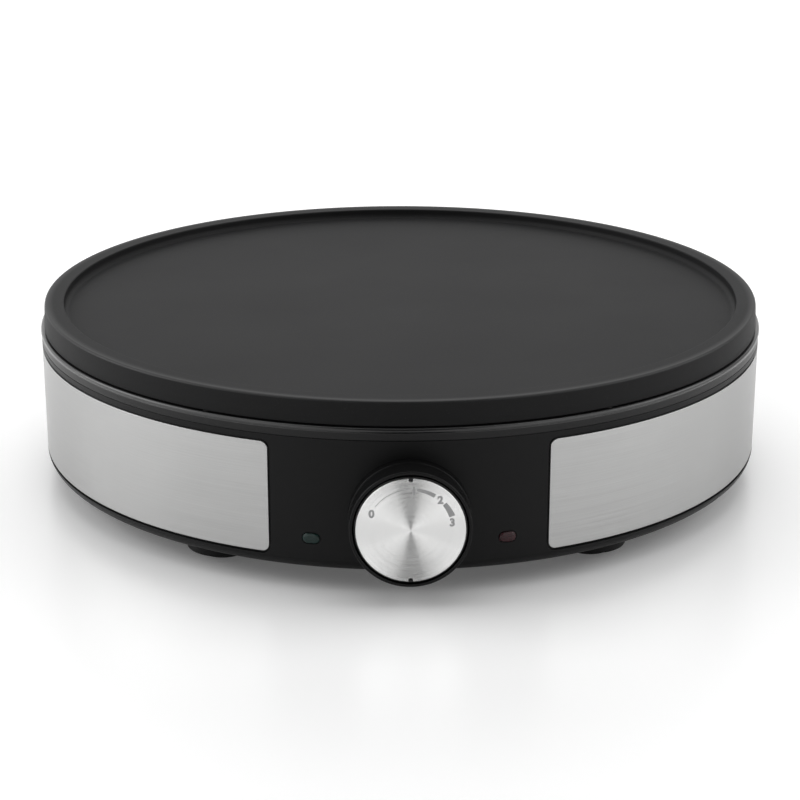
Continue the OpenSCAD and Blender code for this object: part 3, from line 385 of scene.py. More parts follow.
@lru_cache(maxsize=None)
def turning_tool() -> Tool:
    """Tree that turns an outline in the XZ plane about the Z axis.

    Returns:
        The tool.
    """
    tool = Tool("turn_outline", {"Segments": "NodeSocketInt"})
    outline = tool.given("Geometry")
    corners = tool.node("GeometryNodeAttributeDomainSize", inputs={"Geometry": outline}, output="Point Count")
    columns = tool.given("Segments") + 1
    grid = tool.node("GeometryNodeMeshGrid", inputs={"Vertices X": corners, "Vertices Y": columns})
    index = tool.node("GeometryNodeInputIndex")
    corner = ((index + 0.5) / columns).math("FLOOR")
    column = index - corner * columns
    position = tool.node("GeometryNodeInputPosition")
    sampled = tool.node(
        "GeometryNodeSampleIndex",
        {"data_type": "FLOAT_VECTOR"},
        {"Geometry": outline, "Value": position, "Index": corner},
    )
    angle = column / tool.given("Segments") * math.tau
    turned = tool.node(
        "ShaderNodeVectorRotate", {"rotation_type": "Z_AXIS"}, {"Vector": sampled, "Angle": angle}
    )
    shape = tool.node("GeometryNodeSetPosition", inputs={"Geometry": grid, "Position": turned})
    closed = tool.node("GeometryNodeMergeByDistance", inputs={"Geometry": shape, "Distance": WELD})
    return tool.end(closed)


@lru_cache(maxsize=None)
def sweeping_tool() -> Tool:
    """Tree that runs a round section along a path of edges.

    Returns:
        The tool.
    """
    tool = Tool("sweep_path", {"Radius": "NodeSocketFloat", "Sides": "NodeSocketInt"})
    path = tool.node("GeometryNodeMeshToCurve", inputs={"Mesh": tool.given("Geometry")})
    section = tool.node(
        "GeometryNodeCurvePrimitiveCircle",
        inputs={"Resolution": tool.given("Sides"), "Radius": tool.given("Radius")},
    )
    tube = tool.node(
        "GeometryNodeCurveToMesh", inputs={"Curve": path, "Profile Curve": section, "Fill Caps": True}
    )
    return tool.end(tube)


@lru_cache(maxsize=None)
def placing_tool() -> Tool:
    """Tree that puts a part on every point, turned by the point's "turn" attribute.

    Returns:
        The tool.
    """
    tool = Tool("place_parts", {"Part": "NodeSocketObject"})
    part = tool.node("GeometryNodeObjectInfo", inputs={"Object": tool.given("Part")}, output="Geometry")
    turn = tool.node("GeometryNodeInputNamedAttribute", {"data_type": "FLOAT_VECTOR"}, {"Name": "turn"})
    placed = tool.node(
        "GeometryNodeInstanceOnPoints",
        inputs={
            "Points": tool.given("Geometry"),
            "Instance": part,
            "Rotation": tool.node("FunctionNodeEulerToRotation", inputs={"Euler": turn}),
        },
    )
    return tool.end(placed)


# ---- Mesh work ----


def from_front(angle: float, reach: float = 0.0, z: float = 0.0) -> Matrix:
    """Frame of an upright part at an angle from the front, reach millimetres out and z up."""
    return Matrix.Rotation(math.radians(angle), 4, "Z") @ at(0, -reach, z)


def at(x: float, y: float, z: float = 0.0) -> Matrix:
    """Frame of an upright part at a place."""
    return Matrix.Translation(Vector((x, y, z)) * MM)


def around(angles: Sequence[float], reach: float = 0.0, z: float = 0.0) -> list[Matrix]:
    """Frames of upright parts at several angles from the front."""
    return [from_front(angle, reach, z) for angle in angles]


def facing(angle: float, z: float) -> Matrix:
    """Frame whose Z axis points outwards at an angle from the front, at a height of z."""
    return from_front(angle, 0, z) @ Matrix.Rotation(math.radians(90), 4, "X")


def rounded(corners: Sequence[Corner], closed: bool = True, steps: int = 5) -> list[Point2]:
    """Rounds the corners of an outline.

    Args:
        corners: Two coordinates and a fillet radius for each corner.
        closed: Whether the last corner joins the first.
        steps: Pieces in each fillet.

    Returns:
        The outline's points; a closed one doesn't repeat its first point.
    """
    points: list[Point2] = []
    count = len(corners)
    for i, (x, y, radius) in enumerate(corners):
        is_end = not closed and i in (0, count - 1)
        here = Vector((x, y))
        to_last = Vector(corners[i - 1][:2]) - here
        to_next = Vector(corners[(i + 1) % count][:2]) - here
        if radius <= 0 or is_end:
            points.append((x, y))
            continue
        half = to_last.angle(to_next) / 2
        reach = min(radius / math.tan(half), 0.49 * to_last.length, 0.49 * to_next.length)
        radius = reach * math.tan(half)
        middle = (to_last.normalized() + to_next.normalized()).normalized()
        centre = here + middle * (radius / math.sin(half))
        start = here + to_last.normalized() * reach - centre
        end = here + to_next.normalized() * reach - centre
        sweep = start.angle_signed(end)
        for k in range(steps + 1):
            spoke = start.copy()
            spoke.rotate(Matrix.Rotation(-sweep * k / steps, 2))
            points.append(tuple(centre + spoke))
    return points


def arc(cx: float, cy: float, rx: float, ry: float, start: float, end: float, steps: int) -> list[Point2]:
    """Points of an elliptic arc between two angles in degrees."""
    angles = [math.radians(start + (end - start) * k / steps) for k in range(steps + 1)]
    return [(cx + rx * math.cos(a), cy + ry * math.sin(a)) for a in angles]


def line_mesh(points: Sequence[Sequence[float]]) -> Mesh:
    """Mesh of one chain of edges through points in millimetres.

    Args:
        points: Its points.

    Returns:
        A mesh of edges.
    """
    mesh = bpy.data.meshes.new("line")
    places = [Vector(p) * MM for p in points]
    mesh.from_pydata(places, [(i, i + 1) for i in range(len(places) - 1)], [])
    return mesh


class Outline(ABC):
    """A closed outline that can be grown or shrunk without changing its number of points."""

    @abstractmethod
    def loop(self, grow: float) -> list[Point2]:
        """Points of the outline, grown outwards by some millimetres."""


@dataclass(frozen=True)
class Round(Outline):
    """A circle."""

    x: float
    y: float
    radius: float
    sides: int = 48

    def loop(self, grow: float) -> list[Point2]:
        """Points of the grown circle."""
        r = self.radius + grow
        return arc(self.x, self.y, r, r, 0, 360, self.sides)[:-1]


@dataclass(frozen=True)
class Pad(Outline):
    """A rectangle with rounded corners, turned about its middle; a slot when its corners meet."""

    x: float
    y: float
    length: float
    width: float
    corner: float
    turn: float = 0.0
    step: float = 1e9
    corner_steps: int = 8

    def loop(self, grow: float) -> list[Point2]:
        """Points of the grown rectangle, with its sides split into steps.

        Args:
            grow: Millimetres outwards.

        Returns:
            Points of the outline.
        """
        half_l = self.length / 2 - self.corner
        half_w = self.width / 2 - self.corner
        r = max(self.corner + grow, 0.01)
        corners = [
            arc(sx * half_l, sy * half_w, r, r, 90 * (i - 1), 90 * i, self.corner_steps)
            for i, (sx, sy) in enumerate(((1, -1), (1, 1), (-1, 1), (-1, -1)))
        ]
        points: list[Point2] = []
        for i, corner in enumerate(corners):
            start, end = Vector(corner[-1]), Vector(corners[(i + 1) % 4][0])
            pieces = math.ceil(2 * (half_l if i % 2 else half_w) / self.step)
            points += [*corner, *(tuple(start.lerp(end, k / pieces)) for k in range(1, pieces))]
        turn = Matrix.Rotation(math.radians(self.turn), 2)
        centre = Vector((self.x, self.y))
        return drop_repeats([tuple(centre + turn @ Vector(p)) for p in points])


def drop_repeats(points: list[Point2]) -> list[Point2]:
    """Leaves out points that lie on the one before them."""
    return [p for i, p in enumerate(points) if math.dist(p, points[i - 1]) > 1e-5]


@dataclass(frozen=True)
class Freeform(Outline):
    """A polygon that grows along its corners' normals."""

    points: tuple[Point2, ...]

    def loop(self, grow: float) -> list[Point2]:
        """Points of the grown polygon.

        Args:
            grow: Millimetres outwards.

        Returns:
            Points of the outline.
        """
        grown: list[Point2] = []
        for i, point in enumerate(self.points):
            before, after = Vector(self.points[i - 1]), Vector(self.points[(i + 1) % len(self.points)])
            along_in = (Vector(point) - before).normalized()
            along_out = (after - Vector(point)).normalized()
            normal = Vector((along_in.y + along_out.y, -along_in.x - along_out.x)).normalized()
            mitre = max(normal.dot(Vector((along_in.y, -along_in.x))), 0.5)
            grown.append(tuple(Vector(point) + normal * grow / mitre))
        return grown


@dataclass
class Feature:
    """A hole, pocket or boss in a face: an outline that follows a profile away from the face.

    The profile's points are how far the outline is grown, and the height above the face.
    """

    outline: Outline
    profile: Sequence[Point2]
    inside: Sequence["Feature"] = ()
    through: bool = False


@dataclass
class Ring:
    """One loop of a slab's mesh, flat and in place."""

    points: list[Point2]
    corners: list[bmesh.types.BMVert]
    height: float


class Slab:
    """A sheet with features in its front face, worked out flat and then warped into place."""

    def __init__(self, warp: Callable[[float, float, float], Vector], step: float = 0.0) -> None:
        """Starts an empty slab.

        Args:
            warp: Turns flat coordinates and a height above the front face into a place in millimetres.
            step: Distance between the points inside a face, or 0 for none.
        """
        self.warp = warp
        self.step = step
        self.bm = bmesh.new()
        self.opened: list[Ring] = []

    def ring(self, outline: Outline, grow: float, height: float) -> Ring:
        """Adds one loop of points."""
        points = outline.loop(grow)
        return Ring(points, [self.bm.verts.new(self.warp(x, y, height) * MM) for x, y in points], height)

    def follow(self, outline: Outline, profile: Sequence[Point2], height: float) -> list[Ring]:
        """Adds a band along a profile and returns its loops.

        Args:
            outline: Outline that the rows follow.
            profile: Steps outwards and in height.
            height: Height of the face.

        Returns:
            The rows of the profile.
        """
        rings = [self.ring(outline, grow, height + rise) for grow, rise in profile]
        for first, second in zip(rings, rings[1:]):
            bridge(self.bm, first.corners, second.corners)
        return rings

    def add_feature(self, feature: Feature, height: float) -> Ring:
        """Adds a feature to a face at that height and returns the loop where it meets the face.

        Args:
            feature: Opening, recess or boss.
            height: Height of the face.

        Returns:
            Its loop in the face.
        """
        rings = self.follow(feature.outline, feature.profile, height)
        if feature.through:
            self.opened.append(rings[-1])
        else:
            self.fill(rings[-1], feature.inside)
        return rings[0]

    def fill(self, edge: Ring, features: Sequence[Feature]) -> None:
        """Fills the face inside a loop, round its features."""
        self.cover([edge, *(self.add_feature(feature, edge.height) for feature in features)])

    def cover(self, rings: list[Ring]) -> None:
        """Fills the flat region inside the first loop and outside the others.

        Args:
            rings: The outer loop and the inner ones.
        """
        flat = [point for ring in rings for point in ring.points]
        corners = [corner for ring in rings for corner in ring.corners]
        edges: list[tuple[int, int]] = []
        for ring in rings:
            first, count = len(edges), len(ring.points)
            edges += [(first + i, first + (i + 1) % count) for i in range(count)]
        if self.step:
            for point in self.inner_points(rings):
                flat.append(point)
                corners.append(self.bm.verts.new(self.warp(*point, rings[0].height) * MM))
        made = delaunay_2d_cdt([Vector(p) for p in flat], edges, [], 0, 1e-7, True)
        places, triangles, sources = made[0], made[2], made[3]
        middles = np.array([np.mean([places[i] for i in tri], axis=0) for tri in triangles])
        keep = inside_loop(middles, rings[0].points)
        for ring in rings[1:]:
            keep &= ~inside_loop(middles, ring.points)
        for triangle, kept in zip(triangles, keep):
            chosen = [corners[sources[i][0]] for i in triangle]
            if kept and len(set(chosen)) == 3:
                self.bm.faces.new(chosen)

    def inner_points(self, rings: list[Ring]) -> list[Point2]:
        """Regular points inside a face, clear of its loops.

        Args:
            rings: The outer loop and the inner ones.

        Returns:
            The points.
        """
        outer = np.array(rings[0].points)
        low, high = outer.min(axis=0), outer.max(axis=0)
        columns = np.arange(math.ceil(low[0] / self.step), math.floor(high[0] / self.step) + 1) * self.step
        rows = np.linspace(low[1], high[1], max(math.ceil((high[1] - low[1]) / self.step), 2) + 1)[1:-1]
        grid = np.array(np.meshgrid(columns, rows)).reshape(2, -1).T
        keep = inside_loop(grid, rings[0].points)
        for ring in rings[1:]:
            keep &= ~inside_loop(grid, ring.points)
        clear = self.step * 0.4
        for x, y in (point for ring in rings for point in ring.points):
            keep &= (abs(grid[:, 0] - x) > clear) | (abs(grid[:, 1] - y) > clear)
        return [tuple(point) for point in grid[keep].tolist()]

    def sheet(self, outline: Outline, rim: Sequence[Point2], features: Sequence[Feature] = ()) -> Mesh:
        """Builds a closed sheet.

        Args:
            outline: The sheet's outline.
            rim: The profile from the front face round the edge to the back face.
            features: What is in the front face.

        Returns:
            The mesh.
        """
        rings = self.follow(outline, rim, 0.0)
        self.fill(rings[0], features)
        self.cover([rings[-1], *self.opened])
        return bmesh_to_mesh(self.bm)


def inside_loop(places: np.ndarray, loop: Sequence[Point2]) -> np.ndarray:
    """Which places lie inside a closed loop, by the even-odd rule.

    Args:
        places: Points to test.
        loop: Closed outline.

    Returns:
        True for each point inside.
    """
    inside = np.zeros(len(places), dtype=bool)
    x, y = places[:, 0], places[:, 1]
    for (x0, y0), (x1, y1) in zip(loop, [*loop[1:], loop[0]]):
        if y0 != y1:
            crosses = (y0 > y) != (y1 > y)
            inside ^= crosses & (x < (x1 - x0) * (y - y0) / (y1 - y0) + x0)
    return inside


def moved(mesh: Mesh, place: Matrix) -> Mesh:
    """Moves a mesh and returns it."""
    mesh.transform(place)
    return mesh


def bmesh_to_mesh(bm: bmesh.types.BMesh) -> Mesh:
    """Welds, turns the faces outwards and returns a mesh.

    Args:
        bm: Mesh under construction, which is freed.

    Returns:
        The finished mesh.
    """
    bmesh.ops.remove_doubles(bm, verts=bm.verts, dist=WELD)
    bmesh.ops.recalc_face_normals(bm, faces=bm.faces)
    mesh = bpy.data.meshes.new("piece")
    bm.to_mesh(mesh)
    bm.free()
    return mesh


def round_edge(radius: float, hole: bool = False) -> list[Point2]:
    """Profile of a rounded edge between a face and the side that goes down from it.

    Args:
        radius: The edge's radius.
        hole: Whether the face lies outside the outline, as round a hole.

    Returns:
        Growth and height of each point.
    """
    side = 1 if hole else -1
    return arc(side * radius, -radius, radius, radius, 90, 180 if hole else 0, 4)


def bridge(bm: bmesh.types.BMesh, first: Sequence[Any], second: Sequence[Any]) -> None:
    """Joins two closed loops of corners with a band of faces.

    Args:
        bm: Mesh that the faces go into.
        first: Corners of the first loop.
        second: Corners of the second loop.
    """
    for i, corner in enumerate(first):
        j = (i + 1) % len(first)
        bm.faces.new((corner, first[j], second[j], second[i]))


class SubAssembly(ABC):
    """Pieces that are made together, and the small operations that make them."""

    @abstractmethod
    def build(self) -> None:
        """Makes the pieces."""

    def turned(self, outline: Sequence[Point2], segments: int, close: bool = True) -> Mesh:
        """Turns an outline of radii and heights about the Z axis.

        Args:
            outline: The points; a ring's outline is closed and a solid's runs from pole to pole.
            segments: Sides of the turned shape.
            close: Whether the last point joins the first.

        Returns:
            A closed mesh.
        """
        chain = [*outline, outline[0]] if close else list(outline)
        mesh = turning_tool().run(line_mesh([(r, 0, z) for r, z in chain]), Segments=segments)
        return self.joined(mesh)

    def solid(self, corners: Sequence[Corner], sides: int, steps: int = 1) -> Mesh:
        """Turns a rounded outline that runs from pole to pole."""
        return self.turned(rounded(corners, closed=False, steps=steps), sides, close=False)

    def hollow(self, corners: Sequence[Corner], sides: int, steps: int) -> Mesh:
        """Turns a rounded outline that closes clear of the axis."""
        return self.turned(rounded(corners, steps=steps), sides)

    def pin(self, radius: float, bottom: float, top: float, sides: int) -> Mesh:
        """Plain cylinder about the Z axis."""
        return self.solid([(0, bottom, 0), (radius, bottom, 0), (radius, top, 0), (0, top, 0)], sides)

    def tube(self, path: Sequence[Sequence[float]], radius: float, sides: int) -> Mesh:
        """Round bar along a path, all in millimetres."""
        mesh = sweeping_tool().run(line_mesh(path), Radius=radius * MM, Sides=sides)
        return self.joined(mesh)

    def placed(self, part: Mesh, frames: Sequence[Matrix]) -> Mesh:
        """Copies a part into several frames.

        Args:
            part: Mesh to repeat.
            frames: Frame of each copy.

        Returns:
            The joined copies.
        """
        points = bpy.data.meshes.new("places")
        points.from_pydata([frame_.to_translation() for frame_ in frames], [], [])
        turns = points.attributes.new("turn", "FLOAT_VECTOR", "POINT")
        for item, frame_ in zip(turns.data, frames):
            item.vector = frame_.to_euler()
        holder = bpy.data.objects.new("part", part)
        mesh = placing_tool().run(points, Part=holder)
        bpy.data.objects.remove(holder)
        return self.joined(mesh)

    def joined(self, *parts: Mesh) -> Mesh:
        """Joins meshes into one.

        Args:
            parts: The meshes, in place.

        Returns:
            The joined mesh.
        """
        bm = bmesh.new()
        for part in parts:
            bm.from_mesh(part)
        return bmesh_to_mesh(bm)

    def box(self, low: Sequence[float], high: Sequence[float], edge: float = 0.2) -> Mesh:
        """Block between two corners, with its edges rounded.

        Args:
            low: Lowest corner.
            high: Highest corner.
            edge: Radius of the rounded edges.

        Returns:
            The block.
        """
        bm = bmesh.new()
        bmesh.ops.create_cube(bm, size=1.0)
        for vert in bm.verts:
            vert.co = Vector(h if c > 0 else l for l, h, c in zip(low, high, vert.co)) * MM
        bmesh.ops.bevel(bm, geom=list(bm.edges), offset=edge * MM, segments=2, affect="EDGES", profile=0.5)
        return bmesh_to_mesh(bm)

    def carved(self, body: Mesh, cutter: Mesh) -> Mesh:
        """Cuts one closed mesh out of another.

        Args:
            body: Mesh to cut.
            cutter: Mesh that is cut away.

        Returns:
            The cut mesh.
        """
        piece = bpy.data.objects.new("piece", body)
        tool = bpy.data.objects.new("cutter", cutter)
        for thing in (piece, tool):
            bpy.context.scene.collection.objects.link(thing)
        modifier = piece.modifiers.new("cut", "BOOLEAN")
        modifier.operation = "DIFFERENCE"
        modifier.solver = "EXACT"
        modifier.use_self = True
        modifier.object = tool
        mesh = evaluated_mesh(piece)
        for thing in (piece, tool):
            bpy.data.objects.remove(thing)
        return self.joined(mesh)

    def piece(
        self, name: str, mesh: Mesh, slot: Slot, body: Body = Body.BASE, material: Material | None = None
    ) -> None:
        """Finishes a piece: shading, material, body and the node that it stands for.

        Args:
            name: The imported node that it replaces, or its own name.
            mesh: Its closed mesh, in place.
            slot: Its material slot.
            body: What it rides on.
            material: Its own finish, in place of the slot's.
        """
        replaces = name in frame["nodes"]
        mesh.materials.clear()
        mesh.materials.append(material or finishes()[slot])
        mesh.polygons.foreach_set("material_index", [0] * len(mesh.polygons))
        mesh.shade_smooth()
        mesh.set_sharp_from_angle(angle=SHARP_ANGLE)
        made = bpy.data.objects.new(f"{name}_dressed" if replaces else name, mesh)
        bpy.context.scene.collection.objects.link(made)
        weighted = made.modifiers.new("face normals", "WEIGHTED_NORMAL")
        weighted.mode = "FACE_AREA"
        weighted.keep_sharp = True
        made.data = evaluated_mesh(made)
        made.data.name = made.name
        made.modifiers.clear()
        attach(made, body.value)
        if replaces:
            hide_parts(name)
        log.info("%s: %d faces on %s", made.name, len(made.data.polygons), body.value)


# ---- Finishes ----


def scaled(colour: Colour, factor: float) -> Colour:
    """The colour made lighter or darker."""
    return tuple(c * factor for c in colour)


@dataclass(frozen=True)
class Finish(ABC):
    """A surface finish that makes its own material."""

    name: str

    @abstractmethod
    def make(self) -> Material:
        """Builds the material."""


@dataclass(frozen=True)
class NonStick(Finish):
    """Sprayed non-stick coating: matt, with an orange-peel relief and fine pale flecks."""

    colour: Colour = (0.0095, 0.0095, 0.0098)
    fleck: Colour = (0.06, 0.06, 0.062)
    peel_size: float = 0.8
    peel_depth: float = 0.02
    fleck_size: float = 0.55
    rim_from: float = 154.0
    rim_to: float = 158.0

    def make(self) -> Material:
        """Builds the material, rubbed smoother towards the rim.

        Returns:
            The material.
        """
        r = Recipe(self.name)
        place = r.place()
        x, y, z = r.axes(place)
        rim_z = high("baking_plate").z
        outward = (x * x + y * y).math("SQRT").step(self.rim_from, self.rim_to)
        rubbed = outward * z.step(rim_z - 1.0, rim_z - 0.3)
        peel = r.noise(place, self.peel_size, detail=2)
        cloud = r.noise(place, 60, detail=4)
        cell = r.cells(place, self.fleck_size)
        chance = r.noise(place, 0.9, detail=1)
        flecks = cell.step(0.2, 0.08) * chance.step(0.52, 0.62)
        base = r.blend(cloud.step(0.3, 0.7), self.colour, scaled(self.colour, 1.12))
        colour = r.blend(flecks * 0.55, base, self.fleck)
        return r.surface({
            "Base Color": colour,
            "Roughness": 0.5 + cloud * 0.1 + peel * 0.06,
            "Specular IOR Level": 0.12,
            "Coat Weight": rubbed * 0.3,
            "Coat Roughness": 0.3,
            "Normal": r.relief(peel + flecks * 0.4, self.peel_depth, 0.5),
        })


@dataclass(frozen=True)
class Moulded(Finish):
    """Injection-moulded plastic with a fine spark-eroded grain."""

    colour: Colour
    roughness: float = 0.4
    shine: float = 0.25
    grain: float = 0.35
    depth: float = 0.012
    polished_from: float | None = None

    def make(self) -> Material:
        """Builds the material, polished from a height upwards where one is given.

        Returns:
            The material.
        """
        r = Recipe(self.name)
        place = r.place()
        grain = r.noise(place, self.grain, detail=3, roughness=0.6)
        cloud = r.noise(place, 45, detail=3)
        base = r.blend(cloud.step(0.3, 0.7), self.colour, scaled(self.colour, 1.15))
        pale = tuple(min(c * 1.6 + 0.004, 1) for c in self.colour)
        coat = {}
        if self.polished_from is not None:
            polish = r.axes(place)[2].step(self.polished_from - 0.05, self.polished_from + 0.05)
            coat = {"Coat Weight": polish * 0.6, "Coat Roughness": 0.15}
        return r.surface({
            "Base Color": r.blend(grain.step(0.62, 0.78) * 0.5, base, pale),
            "Roughness": self.roughness + (grain - 0.5) * 0.16 + (cloud - 0.5) * 0.08,
            "Specular IOR Level": self.shine,
            "Normal": r.relief(grain, self.depth, 0.6),
            **coat,
        })


@dataclass(frozen=True)
class Brushed(Finish):
    """Stainless sheet brushed along the wall."""

    colour: Colour = (0.405, 0.405, 0.402)
    line: float = 0.07
    streak_length: float = 34.0
    radius: float = 160.0
    spread: float = 0.3

    def make(self) -> Material:
        """Builds the material.

        Returns:
            The material.
        """
        r = Recipe(self.name)
        place = r.place()
        x, y, z = r.axes(place)
        along = x.math("ARCTAN2", y * -1.0) * self.radius
        rows = r.join(along / self.streak_length, z / self.line, 0.0)
        streak = r.noise(rows, 1.0, detail=2, roughness=0.7)
        long_rows = r.join(along / (4 * self.streak_length), z / (5 * self.line), 7.0)
        band = r.noise(long_rows, 1.0, detail=2)
        cloud = r.noise(place, 55, detail=2)
        tone = 0.9 + (streak - 0.5) * 0.14 + (band - 0.5) * 0.08 + (cloud - 0.5) * 0.08
        normal = r.node("ShaderNodeNewGeometry", output="Normal")
        tilt = (streak - 0.5) * self.spread + (band - 0.5) * (self.spread / 2)
        tilted = r.vector("NORMALIZE", r.vector("ADD", normal, r.join(0.0, 0.0, tilt)))
        return r.surface({
            "Base Color": r.vector("MULTIPLY", r.join(tone, tone, tone), self.colour),
            "Metallic": 1.0,
            "Roughness": 0.36 + (streak - 0.5) * 0.14 + (cloud - 0.5) * 0.06,
            "Normal": tilted,
        })


@dataclass(frozen=True)
class Spun(Finish):
    """Aluminium faced on a lathe: fine rings that throw the light into spokes."""

    centre_z: float
    colour: Colour = (0.66, 0.66, 0.655)
    groove: float = 0.006
    spread: float = 0.8

    def make(self) -> Material:
        """Builds the material.

        Returns:
            The material.
        """
        r = Recipe(self.name)
        x, _, z = r.axes(r.place())
        up = z - self.centre_z
        radius = (x * x + up * up).math("SQRT")
        ring = (radius / self.groove).math("FLOOR")
        jitter = r.random(ring) * 2.0 - 1.0
        spoke = r.node(
            "ShaderNodeVectorTransform",
            {"vector_type": "VECTOR", "convert_from": "OBJECT", "convert_to": "WORLD"},
            {"Vector": r.join(x / radius, 0.0, up / radius)},
        )
        normal = r.node("ShaderNodeNewGeometry", output="Normal")
        tilted = r.vector("ADD", normal, r.vector("SCALE", spoke, jitter * self.spread))
        coarse = r.noise(r.join(radius, 0.0, 0.0), 0.9, detail=4)
        tone = 0.97 + (coarse - 0.5) * 0.03
        return r.surface({
            "Base Color": r.vector("MULTIPLY", r.join(tone, tone, tone), self.colour),
            "Metallic": 1.0,
            "Roughness": 0.22 + (coarse - 0.5) * 0.03,
            "Normal": r.vector("NORMALIZE", tilted),
        })


@dataclass(frozen=True)
class Metal(Finish):
    """Plated or bare metal with faint blotches, fine scratches and a varying sheen."""

    colour: Colour
    dull: Colour
    roughness: float = 0.3
    sheen: float = 0.25
    blotch: tuple[float, float, float] = (4.0, 4.0, 0.6)
    dull_from: float = 0.7
    scratch: tuple[float, float] = (0.25, 2.0)
    scratch_sheen: float = 0.1
    depth: float = 0.01
    metallic: float = 1.0

    def make(self) -> Material:
        """Builds the material.

        Returns:
            The material.
        """
        r = Recipe(self.name)
        place = r.place()
        blotch = r.noise(place, *self.blotch)
        fine = r.noise(place, *self.scratch)
        return r.surface({
            "Base Color": r.blend(blotch.step(0.35, self.dull_from), self.colour, self.dull),
            "Metallic": self.metallic,
            "Roughness": self.roughness + (blotch - 0.5) * self.sheen + (fine - 0.5) * self.scratch_sheen,
            "Normal": r.relief(fine, self.depth, 0.4),
        })


@dataclass(frozen=True)
class Aluminised(Finish):
    """Aluminised sheet: spangled, with roll lines and a faint heat tint under the element's loops."""

    loops: tuple[float, float]
    colour: Colour = (0.66, 0.665, 0.67)
    tint: Colour = (0.52, 0.45, 0.34)
    spangle: float = 7.0
    tint_width: float = 11.0

    def make(self) -> Material:
        """Builds the material.

        Returns:
            The material.
        """
        r = Recipe(self.name)
        place = r.place()
        x, y, _ = r.axes(place)
        radius = (x * x + y * y).math("SQRT")
        shade = r.axes(r.cells(place, self.spangle, "Color"))[0]
        lines = r.noise(r.join(x / 30.0, y / 0.4, 0.0), 1.0, detail=3)
        cloud = r.noise(place, 25, detail=4)
        outer, inner = ((radius - loop).math("ABSOLUTE").step(self.tint_width, 1.5) for loop in self.loops)
        heat = outer + inner
        base = r.blend(shade * 0.35, self.colour, scaled(self.colour, 0.8))
        return r.surface({
            "Base Color": r.blend(heat * (cloud * 0.7), base, self.tint),
            "Metallic": 1.0,
            "Roughness": 0.3 + shade * 0.12 + (lines - 0.5) * 0.12,
            "Normal": r.relief(lines + shade * 0.3, 0.02, 0.35),
        })


@dataclass(frozen=True)
class Steatite(Finish):
    """Pressed ceramic: off-white, chalky, with fine pits."""

    colour: Colour = (0.72, 0.69, 0.61)
    stain: Colour = (0.55, 0.5, 0.42)

    def make(self) -> Material:
        """Builds the material.

        Returns:
            The material.
        """
        r = Recipe(self.name)
        place = r.place()
        cloud = r.noise(place, 6, detail=5)
        pits = r.cells(place, 0.8).step(0.25, 0.05)
        return r.surface({
            "Base Color": r.blend(cloud.step(0.45, 0.8) * 0.6 + pits * 0.25, self.colour, self.stain),
            "Roughness": 0.62 + (cloud - 0.5) * 0.2,
            "Specular IOR Level": 0.4,
            "Normal": r.relief(1.0 - pits, 0.03, 0.5),
        })


@dataclass(frozen=True)
class Lens(Finish):
    """Tinted pilot lens with moulded ribs behind its smooth face, and a painted highlight streak along each
    rib.
    """

    colour: Colour
    rib: float = 0.9

    def make(self) -> Material:
        """Builds the material.

        Returns:
            The material.
        """
        r = Recipe(self.name)
        place = r.place()
        _, _, z = r.axes(place)
        ribs = (z * (math.tau / self.rib)).math("SINE") * 0.5 + 0.5
        cloud = r.noise(place, 1.6, detail=2)
        return r.surface({
            # Painted highlight streaks: base colour lighter on the ribs' crests and darker between them, with
            # random tone.
            "Base Color": r.blend(ribs * 0.6 + cloud * 0.3, scaled(self.colour, 0.35), self.colour),
            "Roughness": 0.16 + (cloud - 0.5) * 0.06,
            "Specular IOR Level": 0.2,
            "Transmission Weight": 0.25,
            "Normal": r.relief(ribs, 0.02, 0.3),
        })


@dataclass(frozen=True)
class Glass(Finish):
    """Thin lamp glass."""

    def make(self) -> Material:
        """Builds the material.

        Returns:
            The material.
        """
        r = Recipe(self.name)
        waves = r.noise(r.place(), 1.5, detail=1)
        return r.surface({
            "Base Color": r.blend(waves, (0.9, 0.93, 0.92), (0.96, 0.97, 0.97)),
            "Roughness": 0.04 + waves * 0.05,
            "Transmission Weight": 0.85,
            "Normal": r.relief(waves, 0.02, 0.3),
        })


@dataclass(frozen=True)
class Ink(Finish):
    """Grey print on the knob, worn thin in places."""

    colour: Colour = (0.46, 0.46, 0.465)
    worn: Colour = (0.54, 0.54, 0.54)

    def make(self) -> Material:
        """Builds the material.

        Returns:
            The material.
        """
        r = Recipe(self.name)
        place = r.place()
        thin = r.noise(place, 0.5, detail=3)
        return r.surface({
            "Base Color": r.blend(thin.step(0.4, 0.7), self.colour, self.worn),
            "Roughness": 0.45 + thin * 0.15,
            "Specular IOR Level": 0.3,
        })


BLACK = (0.006, 0.006, 0.0062)


